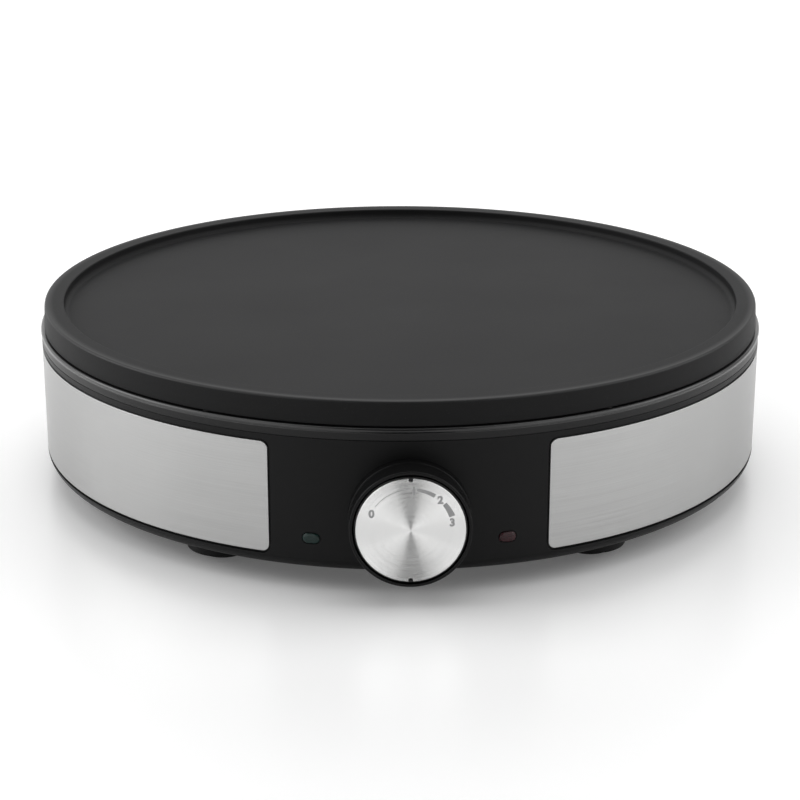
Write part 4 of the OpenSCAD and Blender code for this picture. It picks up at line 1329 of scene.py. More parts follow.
@lru_cache(maxsize=None)
def finishes() -> dict[Slot, Material]:
    """The material of each slot, made on first use.

    Returns:
        Materials by slot.
    """
    book: dict[Slot, Finish] = {
        Slot.NONSTICK: NonStick("nonstick coating"),
        Slot.BLACK: Moulded("satin black plastic", BLACK, roughness=0.42, shine=0.13),
        Slot.RING: Moulded(
            "ring plastic", BLACK, roughness=0.36, shine=0.22, depth=0.008,
            polished_from=BaseRing().bead_z),
        Slot.KNOB: Moulded("knob plastic", BLACK, roughness=0.3, shine=0.3, depth=0.008),
        Slot.BRUSHED: Brushed("brushed steel"),
        Slot.SPUN: Spun("spun aluminium", Knob().axis_z),
        Slot.PLATED: Metal("zinc plate", (0.62, 0.63, 0.65), (0.5, 0.51, 0.5)),
        Slot.ALUMINISED: Aluminised(
            "aluminised sheet", (HeatingElement().outer_r, HeatingElement().inner_r)),
        Slot.SHEATH: Metal(
            "oxidised sheath", (0.075, 0.078, 0.072), (0.13, 0.085, 0.055), 0.42, 0.3, (14.0, 5.0, 0.65),
            0.68, (0.6, 3.0), 0.12, 0.03, 0.65),
        Slot.STEATITE: Steatite("steatite"),
        Slot.BRASS: Metal("brass", (0.72, 0.5, 0.2), (0.5, 0.34, 0.14), roughness=0.32),
        Slot.COPPER: Metal("copper", (0.72, 0.4, 0.24), (0.5, 0.26, 0.15), roughness=0.34),
        Slot.RUBBER: Moulded("rubber", (0.011, 0.011, 0.011), roughness=0.72, shine=0.2, depth=0.03),
        Slot.GREEN_LENS: Lens("green lens", (0.008, 0.046, 0.038)),
        Slot.RED_LENS: Lens("red lens", (0.07, 0.01, 0.017)),
        Slot.LAMP_GLASS: Glass("lamp glass"),
        Slot.HOLDER: Moulded("holder plastic", (0.28, 0.27, 0.25), roughness=0.5),
    }
    leads = {
        Slot.LEAD_BROWN: (0.12, 0.05, 0.025), Slot.LEAD_GREY: (0.12, 0.12, 0.12),
        Slot.LEAD_BLUE: (0.03, 0.09, 0.28), Slot.LEAD_GREEN: (0.1, 0.3, 0.05),
        Slot.LEAD_WHITE: (0.72, 0.72, 0.7),
    }
    for slot, colour in leads.items():
        kind = slot.value.removeprefix("lead_")
        book[slot] = Moulded(f"{kind} lead", colour, roughness=0.5, grain=1.2)
    return {slot: finish.make() for slot, finish in book.items()}


# ---- Sizes that several sub-assemblies share ----


@lru_cache(maxsize=None)
def corners_of(node: str) -> tuple[Vector, Vector]:
    """Lowest and highest corner of a node's box, in millimetres."""
    lowest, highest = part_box(node)
    return lowest / MM, highest / MM


def low(node: str) -> Vector:
    """Lowest corner of a node's box, in millimetres."""
    return corners_of(node)[0]


def high(node: str) -> Vector:
    """Highest corner of a node's box, in millimetres."""
    return corners_of(node)[1]


@dataclass(frozen=True)
class Levels:
    """Heights and radii that the pieces share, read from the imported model."""

    floor_z: float = low("housing").z
    housing_top: float = high("housing").z
    ring_top: float = high("base_ring").z
    plate_foot: float = high("plate_pads").z
    rim_z: float = high("baking_plate").z - 0.001
    body_r: float = round(high("right_panel").x, 1)
    wall_t: float = 2.5
    flange_t: float = 2.5
    panel_t: float = 0.8
    seat_gap: float = 0.1
    assembly_gap: float = 0.3
    slip: float = 0.05
    cover_t: float = 2.5
    screw_r: float = 1.5
    post_angles: tuple[float, ...] = (58, 100, 142, -142, -100, -58)
    pan_screw_angles: tuple[float, ...] = (45, 135, -135, -45)
    pad_angles: tuple[float, ...] = (30, 90, 150, 210, 270, 330)
    post_circle_r: float = 146.0
    pan_screw_r: float = 139.0

    @property
    def screw_hole_r(self) -> float:
        """Radius of the hole for a screw."""
        return self.screw_r + self.slip

    @property
    def inner_r(self) -> float:
        """Inner radius of the housing's wall."""
        return self.body_r - self.wall_t

    @property
    def flange_top(self) -> float:
        """Top of the base ring's flange."""
        return self.housing_top + self.flange_t

    @property
    def cover_top(self) -> float:
        """Top of the bottom cover."""
        return self.floor_z + self.cover_t


LEVELS = Levels()


# ---- Sub-assemblies ----


@dataclass
class BakingPlate(SubAssembly):
    """Cast plate with a non-stick coating, and the pads that it stands on."""

    plate_t: float = 4.0
    land_w: float = 6.8
    well_depth: float = 4.5
    well_fillet: float = 3.4
    skirt_t: float = 3.8
    skirt_flare: float = 0.5
    rim_round: float = 1.1
    well_edge_round: float = 0.6
    spigot_t: float = 2.5
    spigot_gap: float = 2.6
    pad_r: float = 1.6
    pad_depth: float = 1.5

    @property
    def pad_circle_r(self) -> float:
        """Radius of the circle that the pads stand on, under the middle of the skirt."""
        return (2 * high("baking_plate").x - self.skirt_t) / 2

    def outline(self) -> list[Point2]:
        """Outline from the middle of the cooking surface round to the middle underneath.

        Returns:
            Radii and heights.
        """
        skirt_r = high("baking_plate").x
        rim_r = skirt_r - self.skirt_flare
        cook_z = LEVELS.rim_z - self.well_depth
        under_z = cook_z - self.plate_t
        rim_under = LEVELS.rim_z - self.plate_t
        well_r = rim_r - self.rim_round - self.land_w - self.well_edge_round
        skirt_in = skirt_r - self.skirt_t
        spigot_out = skirt_in - self.spigot_gap
        spigot_in = spigot_out - self.spigot_t
        foot_z = LEVELS.plate_foot
        spigot_z = low("baking_plate").z
        return rounded(
            [
                (0, cook_z, 0), (40, cook_z, 0), (100, cook_z, 0), (well_r - 6, cook_z, 0),
                (well_r, cook_z, self.well_fillet), (well_r, LEVELS.rim_z, self.well_edge_round),
                (rim_r, LEVELS.rim_z, self.rim_round), (skirt_r, foot_z, 0.35), (skirt_in, foot_z, 0.35),
                (skirt_in, rim_under, 1.2), (spigot_out, rim_under, 1.2), (spigot_out, spigot_z, 0.5),
                (spigot_in, spigot_z, 0.5), (spigot_in, under_z, 1.0), (100, under_z, 0), (40, under_z, 0),
                (0, under_z, 0),
            ],
            closed=False, steps=6,
        )

    def build(self) -> None:
        """Makes the plate and its pads."""
        plate = self.turned(self.outline(), ROUND_SIDES, close=False)
        self.piece("baking_plate", plate, Slot.NONSTICK, Body.PLATE)
        foot = LEVELS.ring_top - self.pad_depth
        pad = self.solid([
            (0, foot, 0), (self.pad_r, foot, 0), (self.pad_r, LEVELS.plate_foot, 0.25),
            (0, LEVELS.plate_foot, 0),
        ], 32, 4)
        pads = self.placed(pad, around(LEVELS.pad_angles, self.pad_circle_r))
        dark = Steatite("dark steatite", colour=(0.03, 0.028, 0.026), stain=(0.015, 0.014, 0.013)).make()
        self.piece("plate_pads", pads, Slot.STEATITE, material=dark)


@dataclass
class BaseRing(SubAssembly):
    """Ring between the housing and the plate, with a glossy bead along its upper edge."""

    ring_w: float = 23.0
    land_r: float = 153.0
    skirt_h: float = 4.0
    skirt_t: float = 2.0
    bead_h: float = 2.1
    bead_w: float = 1.0
    bead_proud: float = 0.3

    @property
    def bead_z(self) -> float:
        """Height of the bead's foot."""
        return LEVELS.ring_top - self.bead_h

    def outline(self) -> list[Point2]:
        """Closed outline of the ring.

        Returns:
            Radii and heights.
        """
        top, bottom = LEVELS.ring_top, LEVELS.housing_top
        locating = LEVELS.inner_r - LEVELS.assembly_gap
        inner = LEVELS.body_r - self.ring_w
        bead = arc(
            LEVELS.body_r + self.bead_proud - self.bead_w, top - self.bead_h / 2,
            self.bead_w, self.bead_h / 2, -55, 90, 14,
        )
        below = rounded([
            (inner, bottom, 0.4), (locating - self.skirt_t, bottom, 0.3),
            (locating - self.skirt_t, bottom - self.skirt_h, 0.4), (locating, bottom - self.skirt_h, 0.4),
            (locating, bottom, 0.2), (LEVELS.body_r, bottom, 0.4), (LEVELS.body_r, top - self.bead_h, 0),
        ], closed=False, steps=4)
        above = rounded([
            (LEVELS.body_r - self.bead_w, top, 0), (self.land_r, top, 0.4),
            (self.land_r, LEVELS.flange_top, 0.6),
            (inner, LEVELS.flange_top, 0.5), (inner, bottom, 0),
        ], closed=False, steps=4)
        return [*below, *bead, *above[1:-1]]

    def build(self) -> None:
        """Makes the ring with its pockets and screw holes."""
        ring = self.turned(self.outline(), ROUND_SIDES)
        low_z, high_z = LEVELS.housing_top - 2, LEVELS.flange_top + 2
        hole = self.pin(LEVELS.screw_hole_r, low_z, high_z, 32)
        plate = BakingPlate()
        pocket_r, pocket_z = plate.pad_r + LEVELS.slip, LEVELS.ring_top - plate.pad_depth
        pocket = self.pin(pocket_r, pocket_z, high_z + 2, 32)
        screws = around(LEVELS.post_angles, LEVELS.post_circle_r)
        screws += around(LEVELS.pan_screw_angles, LEVELS.pan_screw_r)
        cutters = self.joined(
            self.placed(hole, screws), self.placed(pocket, around(LEVELS.pad_angles, plate.pad_circle_r)))
        self.piece("base_ring", self.carved(ring, cutters), Slot.RING)


@dataclass
class Wall:
    """The housing's wall rolled out flat: arc lengths from the front along x, heights along y."""

    seam: float = -168.0
    grid: float = 1.0
    start: float = 20.06
    base_z: float = 7.2
    margin: float = 3.2
    gap: float = 1.0
    corner: float = 3.0
    stud_r: float = 1.5
    stud_l: float = 6.0
    stud_inset: float = 9.0
    stud_angles: tuple[float, ...] = (36, 80, 120, 154)

    def length(self, angle: float) -> float:
        """Arc length at the wall's outer face for an angle from the front."""
        return math.radians(angle) * LEVELS.body_r

    def bend(self, face_r: float) -> Callable[[float, float, float], Vector]:
        """Warp that rolls flat coordinates onto a face of that radius.

        Args:
            face_r: Radius of the face.

        Returns:
            The warp.
        """

        def warp(x: float, y: float, height: float) -> Vector:
            """Rolls a flat place onto the wall."""
            angle, reach = x / LEVELS.body_r, face_r + height
            return Vector((reach * math.sin(angle), -reach * math.cos(angle), y))

        return warp

    @property
    def step(self) -> float:
        """Distance between the wall's grid points."""
        return self.length(self.grid)

    @property
    def panel_z(self) -> tuple[float, float]:
        """Lower and upper edge of the panels."""
        return LEVELS.floor_z + self.base_z, LEVELS.housing_top - self.margin

    def patch(self, side: int, grow: float) -> Pad:
        """Outline of a side panel, or of its recess.

        Args:
            side: 1 for the right, -1 for the left.
            grow: Millimetres outwards.

        Returns:
            The outline.
        """
        bottom, top = self.panel_z
        middle = self.length(90.0) * side
        width = 2 * (self.length(90.0) - self.length(self.start))
        return Pad(
            middle, (bottom + top) / 2, width + 2 * grow, top - bottom + 2 * grow,
            self.corner + grow, step=self.step,
        )

    def studs(self, side: int) -> list[Point2]:
        """Places of the studs behind a panel.

        Args:
            side: 1 for the right, -1 for the left.

        Returns:
            Their places.
        """
        bottom, top = self.panel_z
        rows = (bottom + self.stud_inset, top - self.stud_inset)
        return [(side * self.length(a), z) for a in self.stud_angles for z in rows]


@dataclass(frozen=True)
class Strip(Outline):
    """The whole wall rolled out, with points in step with the turned parts."""

    start: float
    pieces: int
    step: float
    bottom: float
    top: float

    def loop(self, grow: float) -> list[Point2]:
        """Points of the strip; it doesn't grow.

        Args:
            grow: Not used; the strip keeps its size.

        Returns:
            Points of the outline.
        """
        rows = max(round((self.top - self.bottom) / self.step), 1)
        xs = [self.start + self.step * k for k in range(self.pieces + 1)]
        ys = [self.bottom + (self.top - self.bottom) * k / rows for k in range(rows + 1)]
        right = [(xs[-1], y) for y in ys[1:-1]]
        left = [(xs[0], y) for y in reversed(ys[1:-1])]
        return [*((x, self.bottom) for x in xs), *right, *((x, self.top) for x in reversed(xs)), *left]


@dataclass
class Housing(SubAssembly):
    """Moulded shell with its panel recesses, posts and lower lip."""

    lip_h: float = 6.3
    lip_run: float = 10.0
    ledge_w: float = 5.0
    ledge_t: float = 2.5
    post_r: float = 4.5
    rib_t: float = 2.4
    edge: float = 0.25
    recess_edge: float = 0.15
    lap: float = 0.4
    pad_t: float = 5.0
    pad_size: tuple[float, float] = (48.2, 36.0)
    wall: Wall = field(default_factory=Wall)

    @property
    def cover_r(self) -> float:
        """Radius of the bottom cover."""
        return high("bottom_cover").x

    def hole(self, outline: Outline, depth: float, edge: float = 0.0) -> Feature:
        """Hole through the wall."""
        start = round_edge(edge, hole=True) if edge else [(0.0, 0.0)]
        return Feature(outline, [*start, (0.0, -depth)], through=True)

    def recess(self, side: int) -> Feature:
        """Recess for a side panel, with the holes for its studs.

        Args:
            side: 1 for the right, -1 for the left.

        Returns:
            The recess.
        """
        depth = LEVELS.panel_t + LEVELS.seat_gap
        stud_r = self.wall.stud_r + LEVELS.slip
        return Feature(
            self.wall.patch(side, self.wall.gap),
            [*round_edge(self.recess_edge, hole=True), (0.0, -depth)],
            [self.hole(Round(x, z, stud_r, 24), LEVELS.wall_t - depth) for x, z in self.wall.studs(side)],
        )

    def openings(self) -> list[Feature]:
        """Openings in the front and rear of the wall.

        Returns:
            The openings.
        """
        pilots, knob, gland = PilotLights(), Knob(), CordGland()
        grow = 2 * pilots.hole_gap
        slots = [
            Pad(self.wall.length(side * pilots.angle), pilots.z, pilots.length + grow, pilots.width + grow,
                (pilots.width + grow) / 2)
            for side in (-1, 1)
        ]
        return [
            *(self.hole(slot, LEVELS.wall_t, self.edge) for slot in slots),
            self.hole(Round(0, knob.axis_z, knob.shaft_hole_r), LEVELS.wall_t),
            *(self.hole(Round(x, knob.axis_z, LEVELS.screw_hole_r, 24), LEVELS.wall_t)
              for x in knob.screw_xs),
            self.hole(Round(self.wall.length(180), gland.z, gland.neck_r + LEVELS.slip), LEVELS.wall_t),
        ]

    def shell(self) -> Mesh:
        """The wall, worked out flat and rolled round, with its lip and ledge.

        Returns:
            The mesh.
        """
        wall_z = LEVELS.floor_z + self.lip_h
        top = LEVELS.housing_top - self.edge
        ledge_z = LEVELS.cover_top + self.ledge_t
        slab = Slab(self.wall.bend(LEVELS.body_r), self.wall.step)
        start = self.wall.length(self.wall.seam)
        foot = wall_z - self.lap
        outer = slab.ring(Strip(start, ROUND_SIDES, self.wall.step, foot, top), 0, 0)
        slab.fill(outer, [*self.openings(), self.recess(1), self.recess(-1)])
        inner = slab.ring(Strip(start, ROUND_SIDES, self.wall.step, ledge_z, top), 0, -LEVELS.wall_t)
        slab.cover([inner, *slab.opened])
        seat_r = self.cover_r + LEVELS.assembly_gap
        curve = arc(LEVELS.body_r - self.lip_run, wall_z, self.lip_run, self.lip_h, 0, -90, 24)
        lip = [(LEVELS.body_r, foot), *((r, z) for r, z in curve if r > seat_r + 0.1 and z < foot - 0.1)]
        share = (seat_r - LEVELS.body_r + self.lip_run) / self.lip_run
        lip_end = wall_z - self.lip_h * math.sqrt(1 - share * share)
        under = rounded([
            (*lip[-1], 0), (seat_r, lip_end, 0.25), (seat_r, LEVELS.cover_top, 0),
            (self.cover_r - self.ledge_w, LEVELS.cover_top, 0.3), (self.cover_r - self.ledge_w, ledge_z, 0.3),
            (LEVELS.inner_r, ledge_z, 0),
        ], closed=False, steps=4)
        crown = rounded([
            (LEVELS.inner_r, top, 0), (LEVELS.inner_r, LEVELS.housing_top, self.edge),
            (LEVELS.body_r, LEVELS.housing_top, self.edge), (LEVELS.body_r, top, 0),
        ], closed=False, steps=4)
        for outline in ([*lip, *under[1:]], crown):
            self.spin(slab.bm, outline)
        return bmesh_to_mesh(slab.bm)

    def spin(self, bm: bmesh.types.BMesh, outline: Sequence[Point2]) -> None:
        """Adds a band turned about the Z axis, in step with the wall's grid.

        Args:
            bm: Mesh that the band goes into.
            outline: Radii and heights of the band.
        """
        start = math.radians(self.wall.seam)
        angles = [start + math.tau * k / ROUND_SIDES for k in range(ROUND_SIDES)]
        rows = [
            [bm.verts.new(Vector((r * math.sin(a), -r * math.cos(a), z)) * MM) for a in angles]
            for r, z in outline
        ]
        for first, second in zip(rows, rows[1:]):
            bridge(bm, first, second)

    def post(self) -> Mesh:
        """Screw post with the rib that ties it to the wall, at the front.

        Returns:
            The mesh.
        """
        foot, bore = LEVELS.cover_top + 0.2, LEVELS.screw_hole_r
        top = LEVELS.housing_top
        tube = self.hollow([
            (bore, foot, 0.2), (self.post_r, foot, 0.3), (self.post_r, top, 0.2), (bore, top, 0.2),
        ], 40, 2)
        reach = LEVELS.inner_r + LEVELS.wall_t / 2 - LEVELS.post_circle_r
        rib = self.box(
            (-self.rib_t / 2, -reach, foot + 0.4), (self.rib_t / 2, -self.post_r + 0.6, top - 5.5), 0.4)
        return self.joined(tube, rib)

    def mounting_pad(self) -> Mesh:
        """Flat pad behind the wall that the thermostat is screwed to.

        Returns:
            The mesh.
        """
        knob = Knob()
        width, height = self.pad_size
        outer_r = LEVELS.inner_r + LEVELS.wall_t / 2
        inner_face = LEVELS.inner_r - self.pad_t

        def warp(x: float, y: float, rise: float) -> Vector:
            """Sets the pad's face flat and its back into the wall."""
            depth = -inner_face if rise > -1 else -math.sqrt(outer_r * outer_r - x * x)
            return Vector((x, depth, knob.axis_z + y))

        screws = [Round(x, 0, LEVELS.screw_hole_r, 24) for x in knob.screw_xs]
        holes = [Round(0, 0, knob.shaft_hole_r), *screws]
        sides = [(0, 0), (0, -2)]
        openings = [Feature(hole, sides, through=True) for hole in holes]
        return Slab(warp, 4.0).sheet(Pad(0, 0, width, height, 1.0, step=4.0), sides, openings)

    def build(self) -> None:
        """Makes the housing."""
        posts = self.placed(self.post(), around(LEVELS.post_angles, LEVELS.post_circle_r))
        mesh = self.joined(self.shell(), posts, self.mounting_pad())
        self.piece("housing", mesh, Slot.BLACK)


@dataclass
class TrimPanels(SubAssembly):
    """Brushed sheets in the sides of the housing."""

    edge: float = 0.18
    wall: Wall = field(default_factory=Wall)

    def build(self) -> None:
        """Makes both panels, each with its studs."""
        thickness = LEVELS.panel_t
        for name, side in (("right_panel", 1), ("left_panel", -1)):
            rim = [*round_edge(self.edge), (0, -thickness)]
            sheet = Slab(self.wall.bend(LEVELS.body_r), self.wall.step).sheet(self.wall.patch(side, 0.0), rim)
            foot_r = LEVELS.body_r - thickness / 2 - self.wall.stud_l
            stud = self.solid([
                (0, foot_r, 0), (self.wall.stud_r, foot_r, 0.4), (self.wall.stud_r, LEVELS.body_r - 0.4, 0),
                (0, LEVELS.body_r - 0.4, 0),
            ], 24, 3)
            frames = [facing(math.degrees(x / LEVELS.body_r), z) for x, z in self.wall.studs(side)]
            mesh = self.joined(sheet, self.placed(stud, frames))
            self.piece(name, mesh, Slot.BRUSHED)


@dataclass
class Knob(SubAssembly):
    """Thermostat knob: black body, spun disc with two notches and a printed scale."""

    axis_z: float = 31.7
    radius: float = 21.7
    disc_r: float = 21.1
    disc_t: float = 1.2
    lip: float = 0.6
    notch_w: float = 1.8
    notch_depth: float = 1.0
    wall_t: float = 1.6
    web_t: float = 2.0
    hub_r: float = 6.0
    rib_t: float = 1.2
    shaft_r: float = 3.0
    shaft_hole_r: float = 5.0
    screw_pitch: float = 37.0
    print_t: float = 0.02
    digit_h: float = 3.1
    cap_share: float = 0.73
    digit_weight: float = 0.2
    marks: tuple[tuple[str, float, float], ...] = (
        ("0", 155, 0.78), ("1", 86, 0.77), ("2", 48, 0.79), ("3", 11.6, 0.76))
    bands: tuple[tuple[float, float, float, float], ...] = (
        (144, 93, 0.2, 0.2), (82, 57, 1.2, 1.6), (40, 20, 1.8, 2.4))
    band_r: float = 0.79
    band_steps: int = 24

    @property
    def screw_xs(self) -> tuple[float, float]:
        """Sideways places of the thermostat's two screws."""
        return -self.screw_pitch / 2, self.screw_pitch / 2

    @property
    def screw_places(self) -> list[Matrix]:
        """Places of those screws within the knob's frame."""
        return [Matrix.Translation((x * MM, 0, 0)) for x in self.screw_xs]

    @property
    def face(self) -> float:
        """Distance of the knob's face from the middle of the housing."""
        return -low("knob_disc").y

    @property
    def frame(self) -> Matrix:
        """Frame on the knob's axis, with Z outwards."""
        return facing(0, self.axis_z)

    def body(self) -> Mesh:
        """Hollow body with its hub and ribs.

        Returns:
            The mesh.
        """
        back, rim = -high("knob_body").y, self.face - self.lip
        seat = self.face - self.disc_t
        web = seat - self.web_t
        inner = self.radius - self.wall_t
        bore = self.shaft_r + LEVELS.slip
        cup = self.solid([
            (0, web - 0.2, 0), (bore, web - 0.2, 0), (bore, back + 1, 0.3), (self.hub_r, back + 1, 0.3),
            (self.hub_r, web, 0.6), (inner, web, 0.6), (inner, back, 0.3), (self.radius, back, 0.3),
            (self.radius, rim, 0.3), (self.disc_r + LEVELS.slip, rim, 0.1),
            (self.disc_r + LEVELS.slip, seat, 0),
            (0, seat, 0),
        ], 128, 4)
        rib = self.box(
            (self.hub_r - 1, -self.rib_t / 2, back + 3), (inner + 0.4, self.rib_t / 2, web + 1), 0.2)
        ribs = self.placed(rib, around(range(30, 360, 60)))
        key = self.box(
            (-self.notch_w / 2 + 0.1, self.disc_r - self.notch_depth + 0.1, seat - 0.2),
            (self.notch_w / 2 - 0.1, self.disc_r + 0.3, self.face - 0.2), 0.3)
        keys = self.placed(key, around((0, 180)))
        return self.joined(*(moved(part, self.frame) for part in (cup, ribs, keys)))

    def disc(self) -> Mesh:
        """Spun disc with a notch at the top and the bottom.

        Returns:
            The mesh.
        """
        half = math.degrees(math.asin(self.notch_w / 2 / self.disc_r))
        floor_r = self.disc_r - self.notch_depth
        points: list[Point2] = []
        for middle in (0, 180):
            points += arc(0, 0, self.disc_r, self.disc_r, middle - 90 + half, middle + 90 - half, 90)
            turn = Matrix.Rotation(math.radians(middle + 90), 2)
            notch = arc(floor_r, 0, 0.35, self.notch_w / 2, 270, 90, 10)
            points += [tuple(turn @ Vector(p)) for p in notch]
        front = self.face - self.print_t
        slab = Slab(lambda x, y, rise: Vector((x, -(front + rise), self.axis_z + y)))
        return slab.sheet(Freeform(tuple(points)), [*round_edge(0.3), (0, -self.disc_t + self.print_t)])

    def digit(self, text: str) -> Mesh:
        """One printed digit, centred, in metres.

        Args:
            text: The digit.

        Returns:
            The mesh.
        """
        curve = bpy.data.curves.new("digit", "FONT")
        curve.body = text
        curve.size = self.digit_h * MM / self.cap_share
        curve.align_x, curve.align_y = "CENTER", "CENTER"
        curve.offset = self.digit_weight * MM
        curve.extrude = self.print_t * MM / 2
        holder = bpy.data.objects.new("digit", curve)
        bpy.context.scene.collection.objects.link(holder)
        mesh = evaluated_mesh(holder)
        bpy.data.objects.remove(holder)
        corners = np.array([vert.co for vert in mesh.vertices])
        middle = (corners.min(axis=0) + corners.max(axis=0)) / 2
        mesh.transform(Matrix.Translation(-Vector(middle)))
        return mesh

    def band(self, start: float, end: float, width_in: float, width_out: float) -> Mesh:
        """Printed arc that widens from its start to its end.

        Args:
            start: Angle at its start, in degrees.
            end: Angle at its end, in degrees.
            width_in: Width at its start.
            width_out: Width at its end.

        Returns:
            The mesh.
        """
        bm = bmesh.new()
        rows = []
        for k in range(self.band_steps + 1):
            share = k / self.band_steps
            angle = math.radians(start + (end - start) * share)
            half = (width_in + (width_out - width_in) * share) / 2
            inner, outer = self.band_r * self.disc_r - half, self.band_r * self.disc_r + half
            rows.append([
                bm.verts.new(Vector((r * math.cos(angle), r * math.sin(angle), z)) * MM)
                for r, z in ((inner, 0), (outer, 0), (outer, self.print_t), (inner, self.print_t))
            ])
        for first, second in zip(rows, rows[1:]):
            bridge(bm, first, second)
        bm.faces.new(rows[0])
        bm.faces.new(rows[-1])
        return bmesh_to_mesh(bm)

    def scale(self) -> Mesh:
        """Printed digits and arcs.

        Returns:
            The mesh.
        """
        level = (self.face - self.print_t) * MM
        bands = self.frame @ Matrix.Translation((0, 0, level))
        parts = [moved(self.band(*band), bands) for band in self.bands]
        for text, angle, share in self.marks:
            towards = Vector((math.cos(math.radians(angle)), math.sin(math.radians(angle)), 0))
            spot = towards * share * self.disc_r
            place = Matrix.Translation(spot * MM + Vector((0, 0, level + self.print_t * MM / 2)))
            parts.append(moved(self.digit(text), self.frame @ place))
        return self.joined(*parts)

    def build(self) -> None:
        """Makes the body, the disc and its print."""
        self.piece("knob_body", self.body(), Slot.KNOB, Body.KNOB)
        self.piece("knob_disc", self.disc(), Slot.SPUN, Body.KNOB)
        self.piece("knob_scale", self.scale(), Slot.KNOB, Body.KNOB, Ink("scale ink").make())


@dataclass
class KnobBezel(SubAssembly):
    """Fixed collar round the knob, with an index mark at its top."""

    collar_t: float = 1.3
    floor_t: float = 3.0
    gap: float = 0.6
    back: float = 4.0
    crown: float = 2.6
    step_h: float = 4.0
    step_w: float = 0.3
    index_w: float = 0.9

    def build(self) -> None:
        """Makes the collar, cut to the wall that it stands on."""
        knob = Knob()
        face = -low("knob_bezel").y + self.crown
        bore = knob.radius + self.gap
        outer = bore + self.collar_t
        floor, back = LEVELS.body_r + self.floor_t, LEVELS.body_r - self.back
        step = LEVELS.body_r + self.step_h
        collar = self.hollow([
            (knob.shaft_hole_r, back, 0), (outer + self.step_w, back, 0), (outer + self.step_w, step, 0.15),
            (outer, step, 0.1), (outer, face, 0.4), (bore, face, 0.3),
            (bore, floor, 0.3), (knob.shaft_hole_r, floor, 0.3),
        ], 160, 5)
        collar.transform(knob.frame)
        wall_r = LEVELS.body_r + 0.02
        wall = self.pin(wall_r, 0, LEVELS.rim_z, 720)
        shank_r, reach = LEVELS.screw_hole_r, LEVELS.body_r + self.floor_t - 0.8
        shank = self.pin(shank_r, back - 1, reach, 24)
        shanks = self.placed(shank, [knob.frame @ place for place in knob.screw_places])
        mark = self.box(
            (-self.index_w / 2, bore + 0.1, face - 0.5), (self.index_w / 2, outer - 0.1, face + 0.15), 0.15)
        mesh = self.joined(self.carved(self.carved(collar, wall), shanks), moved(mark, knob.frame))
        gloss = Moulded("bezel plastic", BLACK, roughness=0.22, shine=0.14, depth=0.004).make()
        self.piece("knob_bezel", mesh, Slot.RING, material=gloss)


@dataclass
class PilotLights(SubAssembly):
    """Green and red lenses, low on either side of the knob."""

    angle: float = 13.84
    z: float = 21.15
    length: float = 7.0
    width: float = 4.3
    proud: float = 0.5
    flange_t: float = 1.5
    flange_grow: float = 1.5
    hole_gap: float = 0.15

    def build(self) -> None:
        """Makes both lenses."""
        face = LEVELS.body_r + self.proud
        flange = LEVELS.inner_r - 0.5 - face
        for name, side, slot in (("green_lens", -1, Slot.GREEN_LENS), ("red_lens", 1, Slot.RED_LENS)):
            mesh = Slab(lambda x, y, rise: Vector((x, y, face + rise))).sheet(
                Pad(0, 0, self.length, self.width, self.width / 2 - 0.05),
                [(-1.4, 0), (-0.8, -0.05), (-0.35, -0.2), (-0.1, -0.42), (0, -0.7), (0, flange),
                 (self.flange_grow, flange), (self.flange_grow, flange - self.flange_t)],
            )
            mesh.transform(facing(side * self.angle, self.z))
            self.piece(name, mesh, slot)


